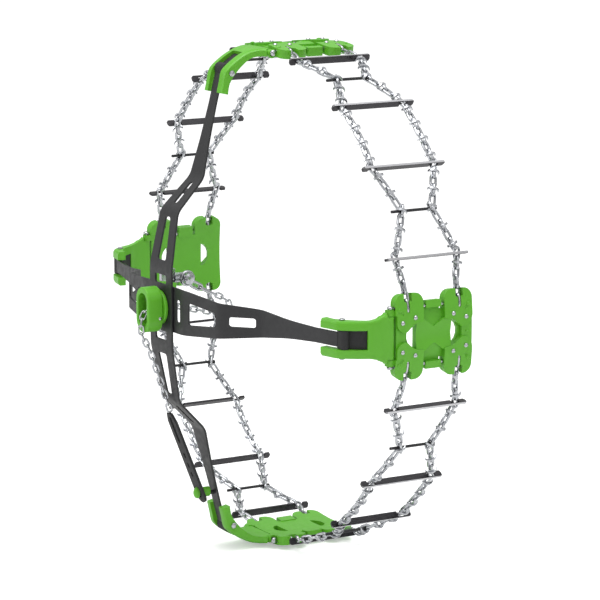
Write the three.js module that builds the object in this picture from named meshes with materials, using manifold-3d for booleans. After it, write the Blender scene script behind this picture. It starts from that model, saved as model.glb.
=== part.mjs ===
// Front-fitting tyre snow chains for a passenger-car wheel.
//
// Four tread plates sit on the tread, joined by two zigzag chains and sixteen crossbars.
// A fork on each plate reaches over the shoulder to a cross of two sprung steel arms,
// and a ratchet in the middle draws the cross towards the wheel with a chain.
//
// Millimetres. The wheel's axle is the Y axis, the arms are on its -Y side, +Z is up.
// Station frame: X is radial, Y runs across the tread and Z along the circumference.

import * as THREE from 'three';
import { mergeVertices } from 'three/addons/utils/BufferGeometryUtils.js';
import Module from 'manifold-3d';

const wasm = await Module();
wasm.setup();

// Driving dimensions -------------------------------------------------------------------

const GAP = 0.4; // running gap between neighbouring pieces
const STATIONS = { right: 0, top: 90, left: 180, bottom: 270 };

const SEAT_R = 346.5; // inner face of the plates, on the tread
const PLATE_LOW_R = 351.5;
const PLATE_HUB_R = 356.6;
const PLATE_TOP_R = 359.2;
const LOBE = { inner: 16.6, outer: 60.3, end: 58, corner: 13, notchT: 7 };
const LAND = { from: 44, outerR: 355.5, innerR: 357.2, halfT: 20 }; // raised floors between two lobes
const HUB = { halfY: 27.5, halfT: 21, pocketR: 352.5 };
const BLOCK = { halfY: 12, from: 36, to: 46, topR: 358 };
const CHAIN_SLOT = { y: 40.5, mouth: 12, groove: 4.6, mouthEnd: 46, grooveEnd: 35, grooveFloorR: 349.5 };

const HINGE = { r: 350, y: -65, pin: 2.8, bore: 3.4, knuckle: 5.8, forkHalf: 29, plateHalf: 38.2 };
const STRAP_PIN = { r: 323.3, y: -122.7, pin: 3, bore: 3.6 };
const FORK = { neckHalf: 25.2, tipHalf: 25.7, slotHalf: 13, slotFromY: -99 };
// A fork seen from the side, as [radius, y]: over the shoulder from the hinge pin and back inside.
const FORK_SIDE = [
  [355.7, -65], [355.8, -72], [355.6, -80], [354, -90], [350.7, -99], [346.2, -108], [340.6, -117],
  [333, -127], [325.5, -133.5], [312, -136.6], [296.5, -140.2],
  [294, -128.4], [301, -127.4], [309.5, -125], [319, -118.8], [327.4, -111.4], [334.4, -103.6],
  [340, -96], [343.4, -88.5], [344.7, -80], [344.3, -65],
];
const PIN_HEAD = { radius: 4.2, thick: 2.8 };
const ANCHOR_PIN = { t: 39, r: 354.5, radius: 2.5, bore: 3, half: 60 };

const CHAIN_R = 350.8; // radius of the tread chains' centre line
const CHAIN_TUBE = 3.6;
const BAR = { angles: [16.9, 37.9, 55.5, 76.1], half: 64.5, inR: 346.8, outR: 357, thick: 3.5 };
const BAR_NOTCH = { y: 48.5, half: 6.5, topR: 354.9 };
const TIE = { angles: [27.4, 65.9], outerY: -40.5, innerY: 19.7, radius: 2.2 };

const ARM_THICK = 3;
const ARM_HALF_WIDTHS = [[0, 32], [57, 32], [134.5, 24.6], [178.6, 19.3], [232, 12.4], [280, 10], [322, 10]];
const EYE = { radius: 6.6, slot: 3.5, travel: 6.2, half: 12.5 };
const VERTICAL_FACE_Y = -222; // mid-plane of the outer arm at the centre
const HORIZONTAL_FACE_Y = -218.4;

const HOUSING = { halfX: 19.3, halfZ: 32, mouthX: 12.5, mouthZ: 23.5, z: -2, outY: -252.5, inY: -229.7 };
const FLANGE = { radius: 24.5, outY: -229.3, inY: -223.9 };
const GUIDE = { outer: 9, hole: 5.6, armHole: 9.6, endY: -212 };
const NUT = { outer: 17, inner: 9.6, outY: -216.5, inY: -212.5 };
const WHEEL_AXLE = { y: -238, z: 12, radius: 2.4, bore: 3, half: 18 };
const PAWL_PIN = { y: -234, z: -13, radius: 2, bore: 2.6, half: 20 };
const DRAW_TUBE = 3.3;

const BAND = { halfX: 12, thick: 4, length: 146.5, topY: -211, topZ: -153.5, endY: -157, endZ: -290 };
const BAND_SLOTS = [[-9, -45, 3.2], [-67, -71, 2.2], [-83, -87, 2.2], [-98, -102, 2.2], [-134, -127, 4.2]];
const BAND_PEG = { z: -277, radius: 3.2, head: 5.5, fromY: -138, toY: -165.5 };
const RING = { x: 9, y: -186, z: 38, major: 9.2, minor: 2.4 };
const RING_POST = { radius: 3.2, head: 7.6, toX: 14.5, endX: 17, lugBelow: 3.2, lugAbove: 14 };

// Materials ------------------------------------------------------------------------------

const paint = (color, roughness, metalness) => new THREE.MeshStandardMaterial({ color, roughness, metalness });
const greenPlastic = paint(0x6cc132, 0.38, 0);
const blackSteel = paint(0x2c2c2e, 0.5, 0.3);
const zincSteel = paint(0xc9ccd0, 0.3, 1);
const darkSteel = paint(0x77787a, 0.4, 1);
const rubber = paint(0x232324, 0.8, 0);

// Solids -----------------------------------------------------------------------------------

/** A closed three.js geometry as a solid that can be joined and cut. */
function solid(geometry) {
  const bare = geometry.clone();
  bare.deleteAttribute('normal');
  bare.deleteAttribute('uv');
  const merged = mergeVertices(bare, 1e-4);
  const vertProperties = new Float32Array(merged.attributes.position.array);
  const triVerts = new Uint32Array(merged.index.array);
  return new wasm.Manifold(new wasm.Mesh({ numProp: 3, vertProperties, triVerts }));
}

/** A solid back as a geometry with flat normals. */
function geometryOf(body) {
  const mesh = body.getMesh();
  const geometry = new THREE.BufferGeometry();
  geometry.setAttribute('position', new THREE.BufferAttribute(new Float32Array(mesh.vertProperties), 3));
  geometry.setIndex(new THREE.BufferAttribute(new Uint32Array(mesh.triVerts), 1));
  const flat = geometry.toNonIndexed();
  flat.computeVertexNormals();
  return flat;
}

const union = (...bodies) => bodies.reduce((whole, body) => whole.add(body));
const cut = (body, ...tools) => tools.reduce((whole, tool) => whole.subtract(tool), body);

const AXES = {
  x: [[0, 1, 0], [0, 0, 1], [1, 0, 0]],
  y: [[0, 0, 1], [1, 0, 0], [0, 1, 0]],
  z: [[1, 0, 0], [0, 1, 0], [0, 0, 1]],
};

/**
 * A prism of an outline, pulled along one axis from one coordinate to another. The outline's
 * two coordinates are (y, z) for axis x, (z, x) for axis y and (x, y) for axis z.
 */
function prismGeometry(shape, axis, from, to, curveSegments) {
  const geometry = new THREE.ExtrudeGeometry(shape, { depth: to - from, bevelEnabled: false, curveSegments });
  geometry.translate(0, 0, from);
  const [u, v, w] = AXES[axis].map((a) => new THREE.Vector3(...a));
  return geometry.applyMatrix4(new THREE.Matrix4().makeBasis(u, v, w));
}

const prism = (shape, axis, from, to, curveSegments = 4) => (
  solid(prismGeometry(shape, axis, from, to, curveSegments)));

const polygon = (points) => new THREE.Shape(points.map(([a, b]) => new THREE.Vector2(a, b)));

/** A box from its lowest to its highest corner. */
function block(low, high) {
  const size = high.map((value, i) => value - low[i]);
  const geometry = new THREE.BoxGeometry(...size);
  geometry.translate(...low.map((value, i) => value + size[i] / 2));
  return solid(geometry);
}

/** A round bar along an axis through a centre given by the other two coordinates. */
function rodGeometry(axis, centre, radius, from, to, sides = 10) {
  const circle = new THREE.Shape();
  for (let i = 0; i < sides; i += 1) {
    const angle = ((i + 0.5) / sides) * 2 * Math.PI;
    const point = [centre[0] + radius * Math.cos(angle), centre[1] + radius * Math.sin(angle)];
    if (i === 0) circle.moveTo(...point);
    else circle.lineTo(...point);
  }
  return prismGeometry(circle, axis, from, to, 1);
}

const rod = (...args) => solid(rodGeometry(...args));

/** A straight slot outline with round ends between two points. */
function slotShape([ax, ay], [bx, by], radius) {
  const angle = Math.atan2(by - ay, bx - ax);
  const shape = new THREE.Shape();
  shape.absarc(bx, by, radius, angle - Math.PI / 2, angle + Math.PI / 2);
  shape.absarc(ax, ay, radius, angle + Math.PI / 2, angle + 1.5 * Math.PI);
  shape.closePath();
  return shape;
}

/** A rectangle with round corners, centred on the origin. */
function roundRect(halfU, halfV, radius) {
  const shape = new THREE.Shape();
  shape.absarc(halfU - radius, halfV - radius, radius, 0, Math.PI / 2);
  shape.absarc(radius - halfU, halfV - radius, radius, Math.PI / 2, Math.PI);
  shape.absarc(radius - halfU, radius - halfV, radius, Math.PI, 1.5 * Math.PI);
  shape.absarc(halfU - radius, radius - halfV, radius, 1.5 * Math.PI, 2 * Math.PI);
  shape.closePath();
  return shape;
}

/** A smooth tube through points, with flat ends. */
function tube(points, radius, steps, sides) {
  const section = new THREE.Shape();
  for (let i = 0; i < sides; i += 1) {
    const angle = (i / sides) * 2 * Math.PI;
    if (i === 0) section.moveTo(radius, 0);
    else section.lineTo(radius * Math.cos(angle), radius * Math.sin(angle));
  }
  const extrudePath = new THREE.CatmullRomCurve3(points.map((p) => new THREE.Vector3(...p)), false, 'centripetal');
  return solid(new THREE.ExtrudeGeometry(section, { steps, extrudePath, bevelEnabled: false }));
}

// Tread plate ------------------------------------------------------------------------------

const FACETS = 3; // flat strips round a plate's length, one of them in the middle
const FACET_DEG = 7.4;

/** A piece of ring under the whole plate, between two radii. */
function ringSector(inner, outer, halfY) {
  const edge = (radius, k) => {
    const angle = THREE.MathUtils.degToRad((k - FACETS / 2) * FACET_DEG);
    return [radius * Math.sin(angle), radius * Math.cos(angle)];
  };
  const points = [];
  for (let k = 0; k <= FACETS; k += 1) points.push(edge(outer, k));
  for (let k = FACETS; k >= 0; k -= 1) points.push(edge(inner, k));
  return prism(polygon(points.reverse()), 'y', -halfY, halfY);
}

/** One of the four lobes, in the quarter given by the two signs. */
function lobeOutline(signY, signT) {
  const { inner, outer, end, corner, notchT } = LOBE;
  const arc = (cy, ct, from) => [0, 1, 2].map((k) => {
    const angle = THREE.MathUtils.degToRad(from - k * 45);
    return [cy + corner * Math.cos(angle), ct + corner * Math.sin(angle)];
  });
  const points = [
    [inner, HUB.halfT - 1],
    ...arc(inner + corner, end - corner, 180),
    ...arc(outer - corner, end - corner, 90),
    [outer, 16],
    [53, notchT],
    [43, notchT],
    [35, 13.5],
    [26, 18],
  ].map(([y, t]) => [y * signY, t * signT]);
  return polygon(signY * signT > 0 ? points.reverse() : points);
}

/** A D-shaped window beside the hub, its straight side towards the middle. */
function windowOutline(sign) {
  const points = [[27, -18], [27, 18], [33, 15], [38, 9.5], [40, 0], [38, -9.5], [33, -15]];
  return polygon(points.map(([y, t]) => [y * sign, t]));
}

/** The V of the hub between two lobes. */
function pocket(sign) {
  const points = [[-15, 21.5], [0, 11.5], [15, 21.5], [15, 24], [-15, 24]];
  return prism(polygon(points.map(([y, t]) => [y, t * sign])), 'x', HUB.pocketR, 370);
}

function treadPlate() {
  const quarters = [[1, 1], [1, -1], [-1, 1], [-1, -1]];
  const lobes = quarters.map(([sy, st]) => prism(lobeOutline(sy, st), 'x', 330, 380));
  const middle = block([330, HINGE.y + 7.5, -31], [380, LOBE.outer, 31]);
  const low = ringSector(SEAT_R, PLATE_LOW_R, 80).intersect(union(middle, ...lobes));
  const high = ringSector(SEAT_R, PLATE_TOP_R, 80).intersect(union(...lobes));
  const hub = block([SEAT_R, -HUB.halfY, -HUB.halfT], [PLATE_HUB_R, HUB.halfY, HUB.halfT]);
  const lands = [
    block([SEAT_R, HINGE.y + 6.7, -LAND.halfT], [LAND.outerR, -LAND.from, LAND.halfT]),
    block([SEAT_R, LAND.from, -LAND.halfT], [LAND.innerR, LOBE.outer, LAND.halfT]),
  ];
  const blocks = [1, -1].map((sign) => {
    const [from, to] = [BLOCK.from * sign, BLOCK.to * sign].sort((a, b) => a - b);
    return block([SEAT_R - 1, -BLOCK.halfY, from], [BLOCK.topR, BLOCK.halfY, to]);
  });
  const bridges = [1, -1].map((sign) => {
    const [from, to] = [30 * sign, (BLOCK.from + 1) * sign].sort((a, b) => a - b);
    return block([SEAT_R - 1, -BLOCK.halfY, from], [PLATE_LOW_R, BLOCK.halfY, to]);
  });
  const knuckles = [1, -1].flatMap((sign) => {
    const [from, to] = [(HINGE.forkHalf + GAP) * sign, HINGE.plateHalf * sign].sort((a, b) => a - b);
    return [
      rod('z', [HINGE.r, HINGE.y], HINGE.knuckle, from, to),
      block([SEAT_R - 0.5, HINGE.y, from], [HINGE.r + HINGE.knuckle - 0.3, -LOBE.outer + 3, to]),
    ];
  });
  const forkRoom = block([330, HINGE.y - 10, -HINGE.forkHalf - GAP], [380, HINGE.y + 6.6, HINGE.forkHalf + GAP]);
  const body = cut(union(low, high, hub, ...lands, ...blocks, ...bridges), forkRoom).add(union(...knuckles));

  const tools = [rod('z', [HINGE.r, HINGE.y], HINGE.bore, -50, 50), pocket(1), pocket(-1)];
  for (const sign of [1, -1]) {
    tools.push(prism(windowOutline(sign), 'x', 330, 380));
    tools.push(rod('y', [ANCHOR_PIN.t * sign, ANCHOR_PIN.r], ANCHOR_PIN.bore, -61, 61, 8));
    for (const side of [1, -1]) {
      const y = CHAIN_SLOT.y * side;
      const along = (a, b) => [a * sign, b * sign].sort((p, q) => p - q);
      const [m0, m1] = along(CHAIN_SLOT.mouthEnd, 70);
      const [g0, g1] = along(CHAIN_SLOT.grooveEnd, CHAIN_SLOT.mouthEnd + 1);
      tools.push(block([330, y - CHAIN_SLOT.mouth / 2, m0], [380, y + CHAIN_SLOT.mouth / 2, m1]));
      tools.push(block([CHAIN_SLOT.grooveFloorR, y - CHAIN_SLOT.groove / 2, g0], [380, y + CHAIN_SLOT.groove / 2, g1]));
    }
  }
  return geometryOf(cut(body, ...tools));
}

// Fork and its pins --------------------------------------------------------------------------

/** A fork: a beam over the shoulder, wide at its root and slotted for the arm's end. */
function fork() {
  const beam = prism(polygon(FORK_SIDE), 'z', -HINGE.plateHalf, HINGE.plateHalf);
  const half = [
    [-60, HINGE.forkHalf], [-71.6, HINGE.forkHalf], [-71.6, HINGE.plateHalf], [-76, 33], [-82, 28.5],
    [-90, FORK.neckHalf + 0.4], [-99, FORK.neckHalf], [-128, FORK.neckHalf], [-136, FORK.tipHalf],
    [-145, FORK.tipHalf],
  ];
  const outline = polygon([...half, ...[...half].reverse().map(([y, t]) => [y, -t])].reverse());
  const trimmed = beam.intersect(prism(outline, 'x', 280, 370));
  const knuckle = rod('z', [HINGE.r, HINGE.y], HINGE.knuckle, -HINGE.forkHalf, HINGE.forkHalf);
  const slot = block([270, -150, -FORK.slotHalf], [380, FORK.slotFromY, FORK.slotHalf]);
  const hingeBore = rod('z', [HINGE.r, HINGE.y], HINGE.bore, -50, 50);
  const strapBore = rod('z', [STRAP_PIN.r, STRAP_PIN.y], STRAP_PIN.bore, -50, 50);
  return geometryOf(cut(union(trimmed, knuckle), slot, hingeBore, strapBore));
}

/** A headed rivet along the circumference. */
function rivet({ r, y, pin }, half) {
  const shank = rod('z', [r, y], pin, -half, half);
  const heads = [rod('z', [r, y], PIN_HEAD.radius, half - 0.1, half + PIN_HEAD.thick),
    rod('z', [r, y], PIN_HEAD.radius, -half - PIN_HEAD.thick, 0.1 - half)];
  return geometryOf(union(shank, ...heads));
}

/** The plain pin across a plate that the ends of both chains hook round. */
function anchorPin(sign) {
  const { t, r, radius, half } = ANCHOR_PIN;
  return geometryOf(rod('y', [t * sign, r], radius, -half, half, 8));
}

// Tread chains and crossbars -------------------------------------------------------------------

// Where a chain runs across the tread, as [degrees past a station, distance from the middle].
const CHAIN_ROUTE = [
  [7.9, 40.5], [11, 41.5], [16.9, 48.5], [27.4, 24], [37.9, 48.5], [46.5, 47.5],
  [55.5, 48.5], [65.9, 24], [76.1, 48.5], [80.2, 42.5], [82.1, 40.5],
];

/** Extra points between the route's points, so that the tube follows the tread. */
function chainPoints(side, mirrored) {
  const points = [];
  CHAIN_ROUTE.forEach(([angle, y], i) => {
    const [nextAngle, nextY] = CHAIN_ROUTE[i + 1] ?? [angle, y];
    const parts = Math.max(1, Math.round((nextAngle - angle) / 3.4));
    for (let k = 0; k < parts; k += 1) {
      const along = THREE.MathUtils.degToRad(angle + ((nextAngle - angle) * k) / parts);
      points.push([CHAIN_R * Math.cos(along), side * (y + ((nextY - y) * k) / parts), CHAIN_R * Math.sin(along)]);
    }
  });
  return mirrored ? points.map(([x, y, z]) => [z, y, x]) : points;
}

/** One chain run between two plates, as the plain tube that its links fill. */
function chainRun(side, mirrored) {
  const run = tube(chainPoints(side, mirrored), CHAIN_TUBE, 30, 6);
  if (side > 0) return geometryOf(run);
  const ties = TIE.angles.map((angle) => {
    const tie = rodGeometry('y', [0, CHAIN_R], TIE.radius, TIE.outerY, TIE.innerY, 6);
    return solid(tie.rotateY(-THREE.MathUtils.degToRad(mirrored ? 90 - angle : angle)));
  });
  return geometryOf(union(run, ...ties));
}

/** A flat steel bar on its edge, notched underneath for the two chains. */
function crossbar() {
  const { half, inR, outR, thick } = BAR;
  const { y, half: notch, topR } = BAR_NOTCH;
  const points = [
    [inR, -half], [outR, -half], [outR, half], [inR, half],
    [inR, y + notch], [topR, y + notch], [topR, y - notch], [inR, y - notch],
    [inR, notch - y], [topR, notch - y], [topR, -y - notch], [inR, -y - notch],
  ];
  return geometryOf(prism(polygon(points), 'z', -thick / 2, thick / 2));
}

// Arms -----------------------------------------------------------------------------------------

/** The bent strip of an arm seen from its edge, as a closed outline. */
function stripOutline(faceY) {
  const deeper = faceY - VERTICAL_FACE_Y;
  const half = [[0, faceY], [57, faceY], [134.5, -207.8 + deeper], [178.6, -164.6 + deeper / 2], [322, -128.1]];
  const line = [...half.slice(1).reverse().map(([x, y]) => [-x, y]), ...half];
  const offset = (side) => line.map(([x, y], i) => {
    const [px, py] = line[Math.max(0, i - 1)];
    const [nx, ny] = line[Math.min(line.length - 1, i + 1)];
    const inDir = new THREE.Vector2(x - px, y - py).normalize();
    const outDir = new THREE.Vector2(nx - x, ny - y).normalize();
    const dir = inDir.add(outDir).normalize();
    return [x - side * dir.y * (ARM_THICK / 2), y + side * dir.x * (ARM_THICK / 2)];
  });
  return polygon([...offset(-1), ...offset(1).reverse()]);
}

/** An arm along X: a bent strip cut to its outline and windows, with a long eye at each end. */
function arm(faceY, windows) {
  const outline = [
    ...ARM_HALF_WIDTHS.map(([x, w]) => [w, x]),
    ...[...ARM_HALF_WIDTHS].reverse().map(([x, w]) => [-w, x]),
    ...ARM_HALF_WIDTHS.slice(1).map(([x, w]) => [-w, -x]),
    ...[...ARM_HALF_WIDTHS].slice(1).reverse().map(([x, w]) => [w, -x]),
  ];
  const strip = prism(stripOutline(faceY), 'z', -40, 40);
  const body = strip.intersect(prism(polygon(outline), 'y', -300, 0));
  const eyes = [];
  const tools = [rod('y', [0, 0], GUIDE.armHole, -300, 0, 12)];
  for (const sign of [1, -1]) {
    const eyeEnds = [[STRAP_PIN.r * sign, STRAP_PIN.y], [(STRAP_PIN.r + EYE.travel) * sign, STRAP_PIN.y]];
    eyes.push(prism(slotShape(...eyeEnds, EYE.radius), 'z', -EYE.half, EYE.half));
    tools.push(prism(slotShape(...eyeEnds, EYE.slot), 'z', -14, 14));
    for (const points of windows) {
      const shape = polygon(points.map(([x, z]) => [z, x * sign]));
      tools.push(prism(shape, 'y', -300, 0));
    }
  }
  return cut(union(body, ...eyes), ...tools);
}

/** A window with cut corners between two distances along the arm. */
function chamferedWindow([x0, half0], [x1, half1], c = 3) {
  return [
    [x0, c - half0], [x0 + c, -half0], [x1 - c, -half1], [x1, c - half1],
    [x1, half1 - c], [x1 - c, half1], [x0 + c, half0], [x0, half0 - c],
  ];
}

function horizontalArm() {
  const windows = [
    chamferedWindow([70, 15.5], [128, 9.5], 4),
    chamferedWindow([43.5, 15.5], [51.5, 15.5], 3),
    chamferedWindow([145, 6.5], [173, 6.5], 4),
  ];
  return geometryOf(arm(HORIZONTAL_FACE_Y, windows));
}

/** The outer arm, with the band's peg below and the ring's lug behind. Its length is along X. */
function verticalArm() {
  const windows = [
    chamferedWindow([66, 12], [126, 7], 4),
    chamferedWindow([144, 4.5], [171, 4], 3),
    chamferedWindow([33.5, 16], [46, 16], 3),
  ];
  const peg = rod('y', [0, BAND_PEG.z], BAND_PEG.radius, BAND_PEG.toY, BAND_PEG.fromY);
  const pegHead = rod('y', [0, BAND_PEG.z], BAND_PEG.head, BAND_PEG.toY - 3, BAND_PEG.toY);
  const { radius, head, toX, endX, lugBelow, lugAbove } = RING_POST;
  const lug = block([RING.z - lugBelow, VERTICAL_FACE_Y + 1, 1.5], [RING.z + lugAbove, RING.y + 4, 9]);
  const post = rod('z', [RING.z, RING.y], radius, -toX, 2);
  const postHead = rod('z', [RING.z, RING.y], head, -endX, 0.5 - toX);
  return geometryOf(union(arm(VERTICAL_FACE_Y, windows), peg, pegHead, lug, post, postHead));
}

// Ratchet --------------------------------------------------------------------------------------

/** A rounded rectangle for prisms along axis y, whose outlines are given as (z, x). */
const upright = (halfX, halfZ, radius) => roundRect(halfZ, halfX, radius);

function ratchetHousing() {
  const { halfX, halfZ, mouthX, mouthZ, z, outY, inY } = HOUSING;
  const shell = prism(upright(halfX, halfZ, halfX - 0.5), 'y', outY, inY, 5).translate([0, 0, z]);
  const mouth = prism(upright(mouthX, mouthZ, mouthX - 0.5), 'y', outY - 1, inY + 1).translate([0, 0, z]);
  const axleBore = rod('x', [WHEEL_AXLE.y, WHEEL_AXLE.z], WHEEL_AXLE.bore, -30, 30);
  const pawlBore = rod('x', [PAWL_PIN.y, PAWL_PIN.z], PAWL_PIN.bore, -30, 30);
  return geometryOf(cut(shell, mouth, axleBore, pawlBore));
}

function ratchetBase() {
  const flange = rod('y', [0, 0], FLANGE.radius, FLANGE.outY, FLANGE.inY, 24);
  const guide = rod('y', [0, 0], GUIDE.outer, FLANGE.inY - 0.2, GUIDE.endY, 12);
  return geometryOf(cut(union(flange, guide), rod('y', [0, 0], GUIDE.hole, -240, -200, 12)));
}

function baseNut() {
  const ring = rod('y', [0, 0], NUT.outer, NUT.outY, NUT.inY, 8);
  return geometryOf(cut(ring, rod('y', [0, 0], NUT.inner, -240, -200, 12)));
}

/** The chain wheel, its teeth in one piece with its axle. */
function ratchetWheel() {
  const teeth = [];
  const count = 8;
  for (let i = 0; i < count; i += 1) {
    for (const [radius, turn] of [[8, 0], [7.4, 0.5], [5.6, 0.62]]) {
      const angle = ((i + turn) / count) * 2 * Math.PI;
      teeth.push([WHEEL_AXLE.y + radius * Math.cos(angle), WHEEL_AXLE.z + radius * Math.sin(angle)]);
    }
  }
  const disc = prism(polygon(teeth), 'x', -4, 4);
  const axle = rod('x', [WHEEL_AXLE.y, WHEEL_AXLE.z], WHEEL_AXLE.radius, -WHEEL_AXLE.half, WHEEL_AXLE.half);
  return geometryOf(union(disc, axle));
}

/** The pawl under the chain: a nose towards the wheel and a tail for the finger. */
function pawl() {
  const shape = polygon([
    [-229.9, -12], [-230.6, -16.2], [-234.5, -17.6], [-245, -17.2], [-246.5, -15],
    [-239, -11.5], [-237.5, -8], [-237.5, -5.2], [-235.5, -5], [-231, -8.8],
  ]);
  const body = prism(shape, 'x', -4, 4);
  return geometryOf(cut(body, rod('x', [PAWL_PIN.y, PAWL_PIN.z], PAWL_PIN.bore, -10, 10)));
}

function pawlPin() {
  return geometryOf(rod('x', [PAWL_PIN.y, PAWL_PIN.z], PAWL_PIN.radius, -PAWL_PIN.half, PAWL_PIN.half, 10));
}

// Draw chain, ring and rubber band -----------------------------------------------------------------

const LOOSE_ROUTE = [
  [0, -219, 0], [0, -228, -0.3], [0, -238, -0.4], [0, -247, -4], [0, -254.2, -13], [0, -257.4, -24.5],
  [0, -256, -36], [0, -249.5, -48], [0, -241.8, -61], [0, -235.3, -78.7], [0, -228.8, -97],
  [0, -221, -119], [0, -213.6, -140], [0, -211.3, -147.5],
];
const DRAW_ROUTE = [
  [7, -174, 27.6], [3, -162, 21.5], [0, -148, 14.5], [0, -128, 5], [0, -116, -4], [0, -115, -12],
  [0, -124, -17], [0, -145, -15], [0, -175, -8], [0, -200, -1.5], [0, -218.4, 0],
];

/** The ring that holds the draw chain's fixed end. */
function anchorRing() {
  const ring = new THREE.TorusGeometry(RING.major, RING.minor, 8, 16);
  ring.rotateY(Math.PI / 2);
  return ring;
}

/** The rubber band that keeps the loose chain's end tight, flat in its own XY plane. */
function band() {
  const { halfX, length, thick } = BAND;
  const outline = new THREE.Shape();
  outline.absarc(0, halfX - length, halfX, Math.PI, 2 * Math.PI);
  outline.lineTo(halfX, -14);
  outline.lineTo(6, -0.5);
  outline.lineTo(-6, -0.5);
  outline.lineTo(-halfX, -14);
  outline.closePath();
  const body = prism(outline, 'z', -thick / 2, thick / 2, 6);
  const tools = BAND_SLOTS.map(([from, to, radius]) => (
    prism(slotShape([0, from], [0, to], radius), 'z', -5, 5, 2)));
  return geometryOf(cut(body, ...tools));
}

// Assembly -----------------------------------------------------------------------------------------

const part = new THREE.Group();

function addMesh(parent, name, geometry, material) {
  const mesh = new THREE.Mesh(geometry, material);
  mesh.name = name;
  parent.add(mesh);
  return mesh;
}

/** A group turned round the axle, so that its X axis points at an angle up from +X. */
function turned(degrees) {
  const group = new THREE.Group();
  group.rotation.y = -THREE.MathUtils.degToRad(degrees);
  part.add(group);
  return group;
}

const shared = {
  plate: treadPlate(),
  fork: fork(),
  hingePin: rivet(HINGE, HINGE.plateHalf + GAP),
  strapPin: rivet(STRAP_PIN, FORK.neckHalf + GAP),
  anchorPins: [anchorPin(1), anchorPin(-1)],
  bar: crossbar(),
};
const [runs, mirroredRuns] = [false, true].map((mirrored) => (
  { outer: chainRun(-1, mirrored), inner: chainRun(1, mirrored) }));

// The pattern of bars and ties is mirrored from one quarter to the next.
for (const [station, degrees] of Object.entries(STATIONS)) {
  const mirrored = degrees % 180 !== 0;
  const quarter = mirrored ? mirroredRuns : runs;
  const group = turned(degrees);
  addMesh(group, `tread_plate_${station}`, shared.plate, greenPlastic);
  addMesh(group, `fork_${station}`, shared.fork, greenPlastic);
  addMesh(group, `hinge_pin_${station}`, shared.hingePin, zincSteel);
  addMesh(group, `strap_pin_${station}`, shared.strapPin, zincSteel);
  addMesh(group, `anchor_pin_${station}_lead`, shared.anchorPins[0], zincSteel);
  addMesh(group, `anchor_pin_${station}_trail`, shared.anchorPins[1], zincSteel);
  addMesh(group, `tread_chain_outer_${station}`, quarter.outer, zincSteel);
  addMesh(group, `tread_chain_inner_${station}`, quarter.inner, zincSteel);
  BAR.angles.forEach((angle, i) => {
    const place = turned(degrees + (mirrored ? 90 - angle : angle));
    addMesh(place, `crossbar_${station}_${i + 1}`, shared.bar, darkSteel);
  });
}

addMesh(part, 'horizontal_arm', horizontalArm(), blackSteel);
addMesh(turned(90), 'vertical_arm', verticalArm(), blackSteel);
addMesh(part, 'ratchet_housing', ratchetHousing(), greenPlastic);
addMesh(part, 'ratchet_base', ratchetBase(), greenPlastic);
addMesh(part, 'base_nut', baseNut(), blackSteel);
addMesh(part, 'ratchet_wheel', ratchetWheel(), zincSteel);
addMesh(part, 'pawl', pawl(), zincSteel);
addMesh(part, 'pawl_pin', pawlPin(), zincSteel);
addMesh(part, 'loose_chain', geometryOf(tube(LOOSE_ROUTE, DRAW_TUBE, 22, 8)), zincSteel);
addMesh(part, 'draw_chain', geometryOf(tube(DRAW_ROUTE, DRAW_TUBE, 24, 8)), zincSteel);

const ring = addMesh(part, 'anchor_ring', anchorRing(), zincSteel);
ring.position.set(RING.x, RING.y, RING.z);

const tensioner = addMesh(part, 'tensioner_band', band(), rubber);
tensioner.position.set(0, BAND.topY, BAND.topZ);
tensioner.rotation.x = Math.PI / 2 + Math.atan2(BAND.endY - BAND.topY, BAND.topZ - BAND.endZ);

export default part;
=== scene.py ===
"""Finished surfaces of a front-fitting tyre snow chain set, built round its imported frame."""

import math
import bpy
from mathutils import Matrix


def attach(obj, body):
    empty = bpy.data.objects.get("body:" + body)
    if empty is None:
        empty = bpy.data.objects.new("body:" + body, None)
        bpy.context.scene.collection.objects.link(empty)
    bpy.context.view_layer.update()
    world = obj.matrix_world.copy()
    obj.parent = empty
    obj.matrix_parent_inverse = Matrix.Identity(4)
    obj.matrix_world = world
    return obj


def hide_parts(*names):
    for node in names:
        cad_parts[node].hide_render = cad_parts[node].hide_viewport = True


bl_info = {
    "name": "Tyre snow chain set",
    "version": (1, 0, 0),
    "blender": (4, 5, 0),
    "location": "View3D > Sidebar > Snow chain",
    "description": "Builds tread plates, forks, chains, arms and ratchet of a snow chain set",
    "category": "Add Mesh",
}

import bmesh
import bpy
from bpy.props import FloatProperty, FloatVectorProperty, PointerProperty
from mathutils import Matrix, Vector
from mathutils.geometry import interpolate_bezier

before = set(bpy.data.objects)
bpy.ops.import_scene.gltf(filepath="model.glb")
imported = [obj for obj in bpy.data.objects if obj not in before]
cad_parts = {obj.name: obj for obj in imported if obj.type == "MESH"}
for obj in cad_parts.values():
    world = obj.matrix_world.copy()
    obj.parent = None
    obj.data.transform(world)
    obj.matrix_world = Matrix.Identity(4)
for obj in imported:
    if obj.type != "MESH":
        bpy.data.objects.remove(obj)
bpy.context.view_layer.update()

# Sizes of the frame, in metres. A station's frame has X radial, Y across the tread, Z round it.

MM = 0.001
GAP = 0.4 * MM
STATIONS = {"right": 0, "top": 90, "left": 180, "bottom": 270}

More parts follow.
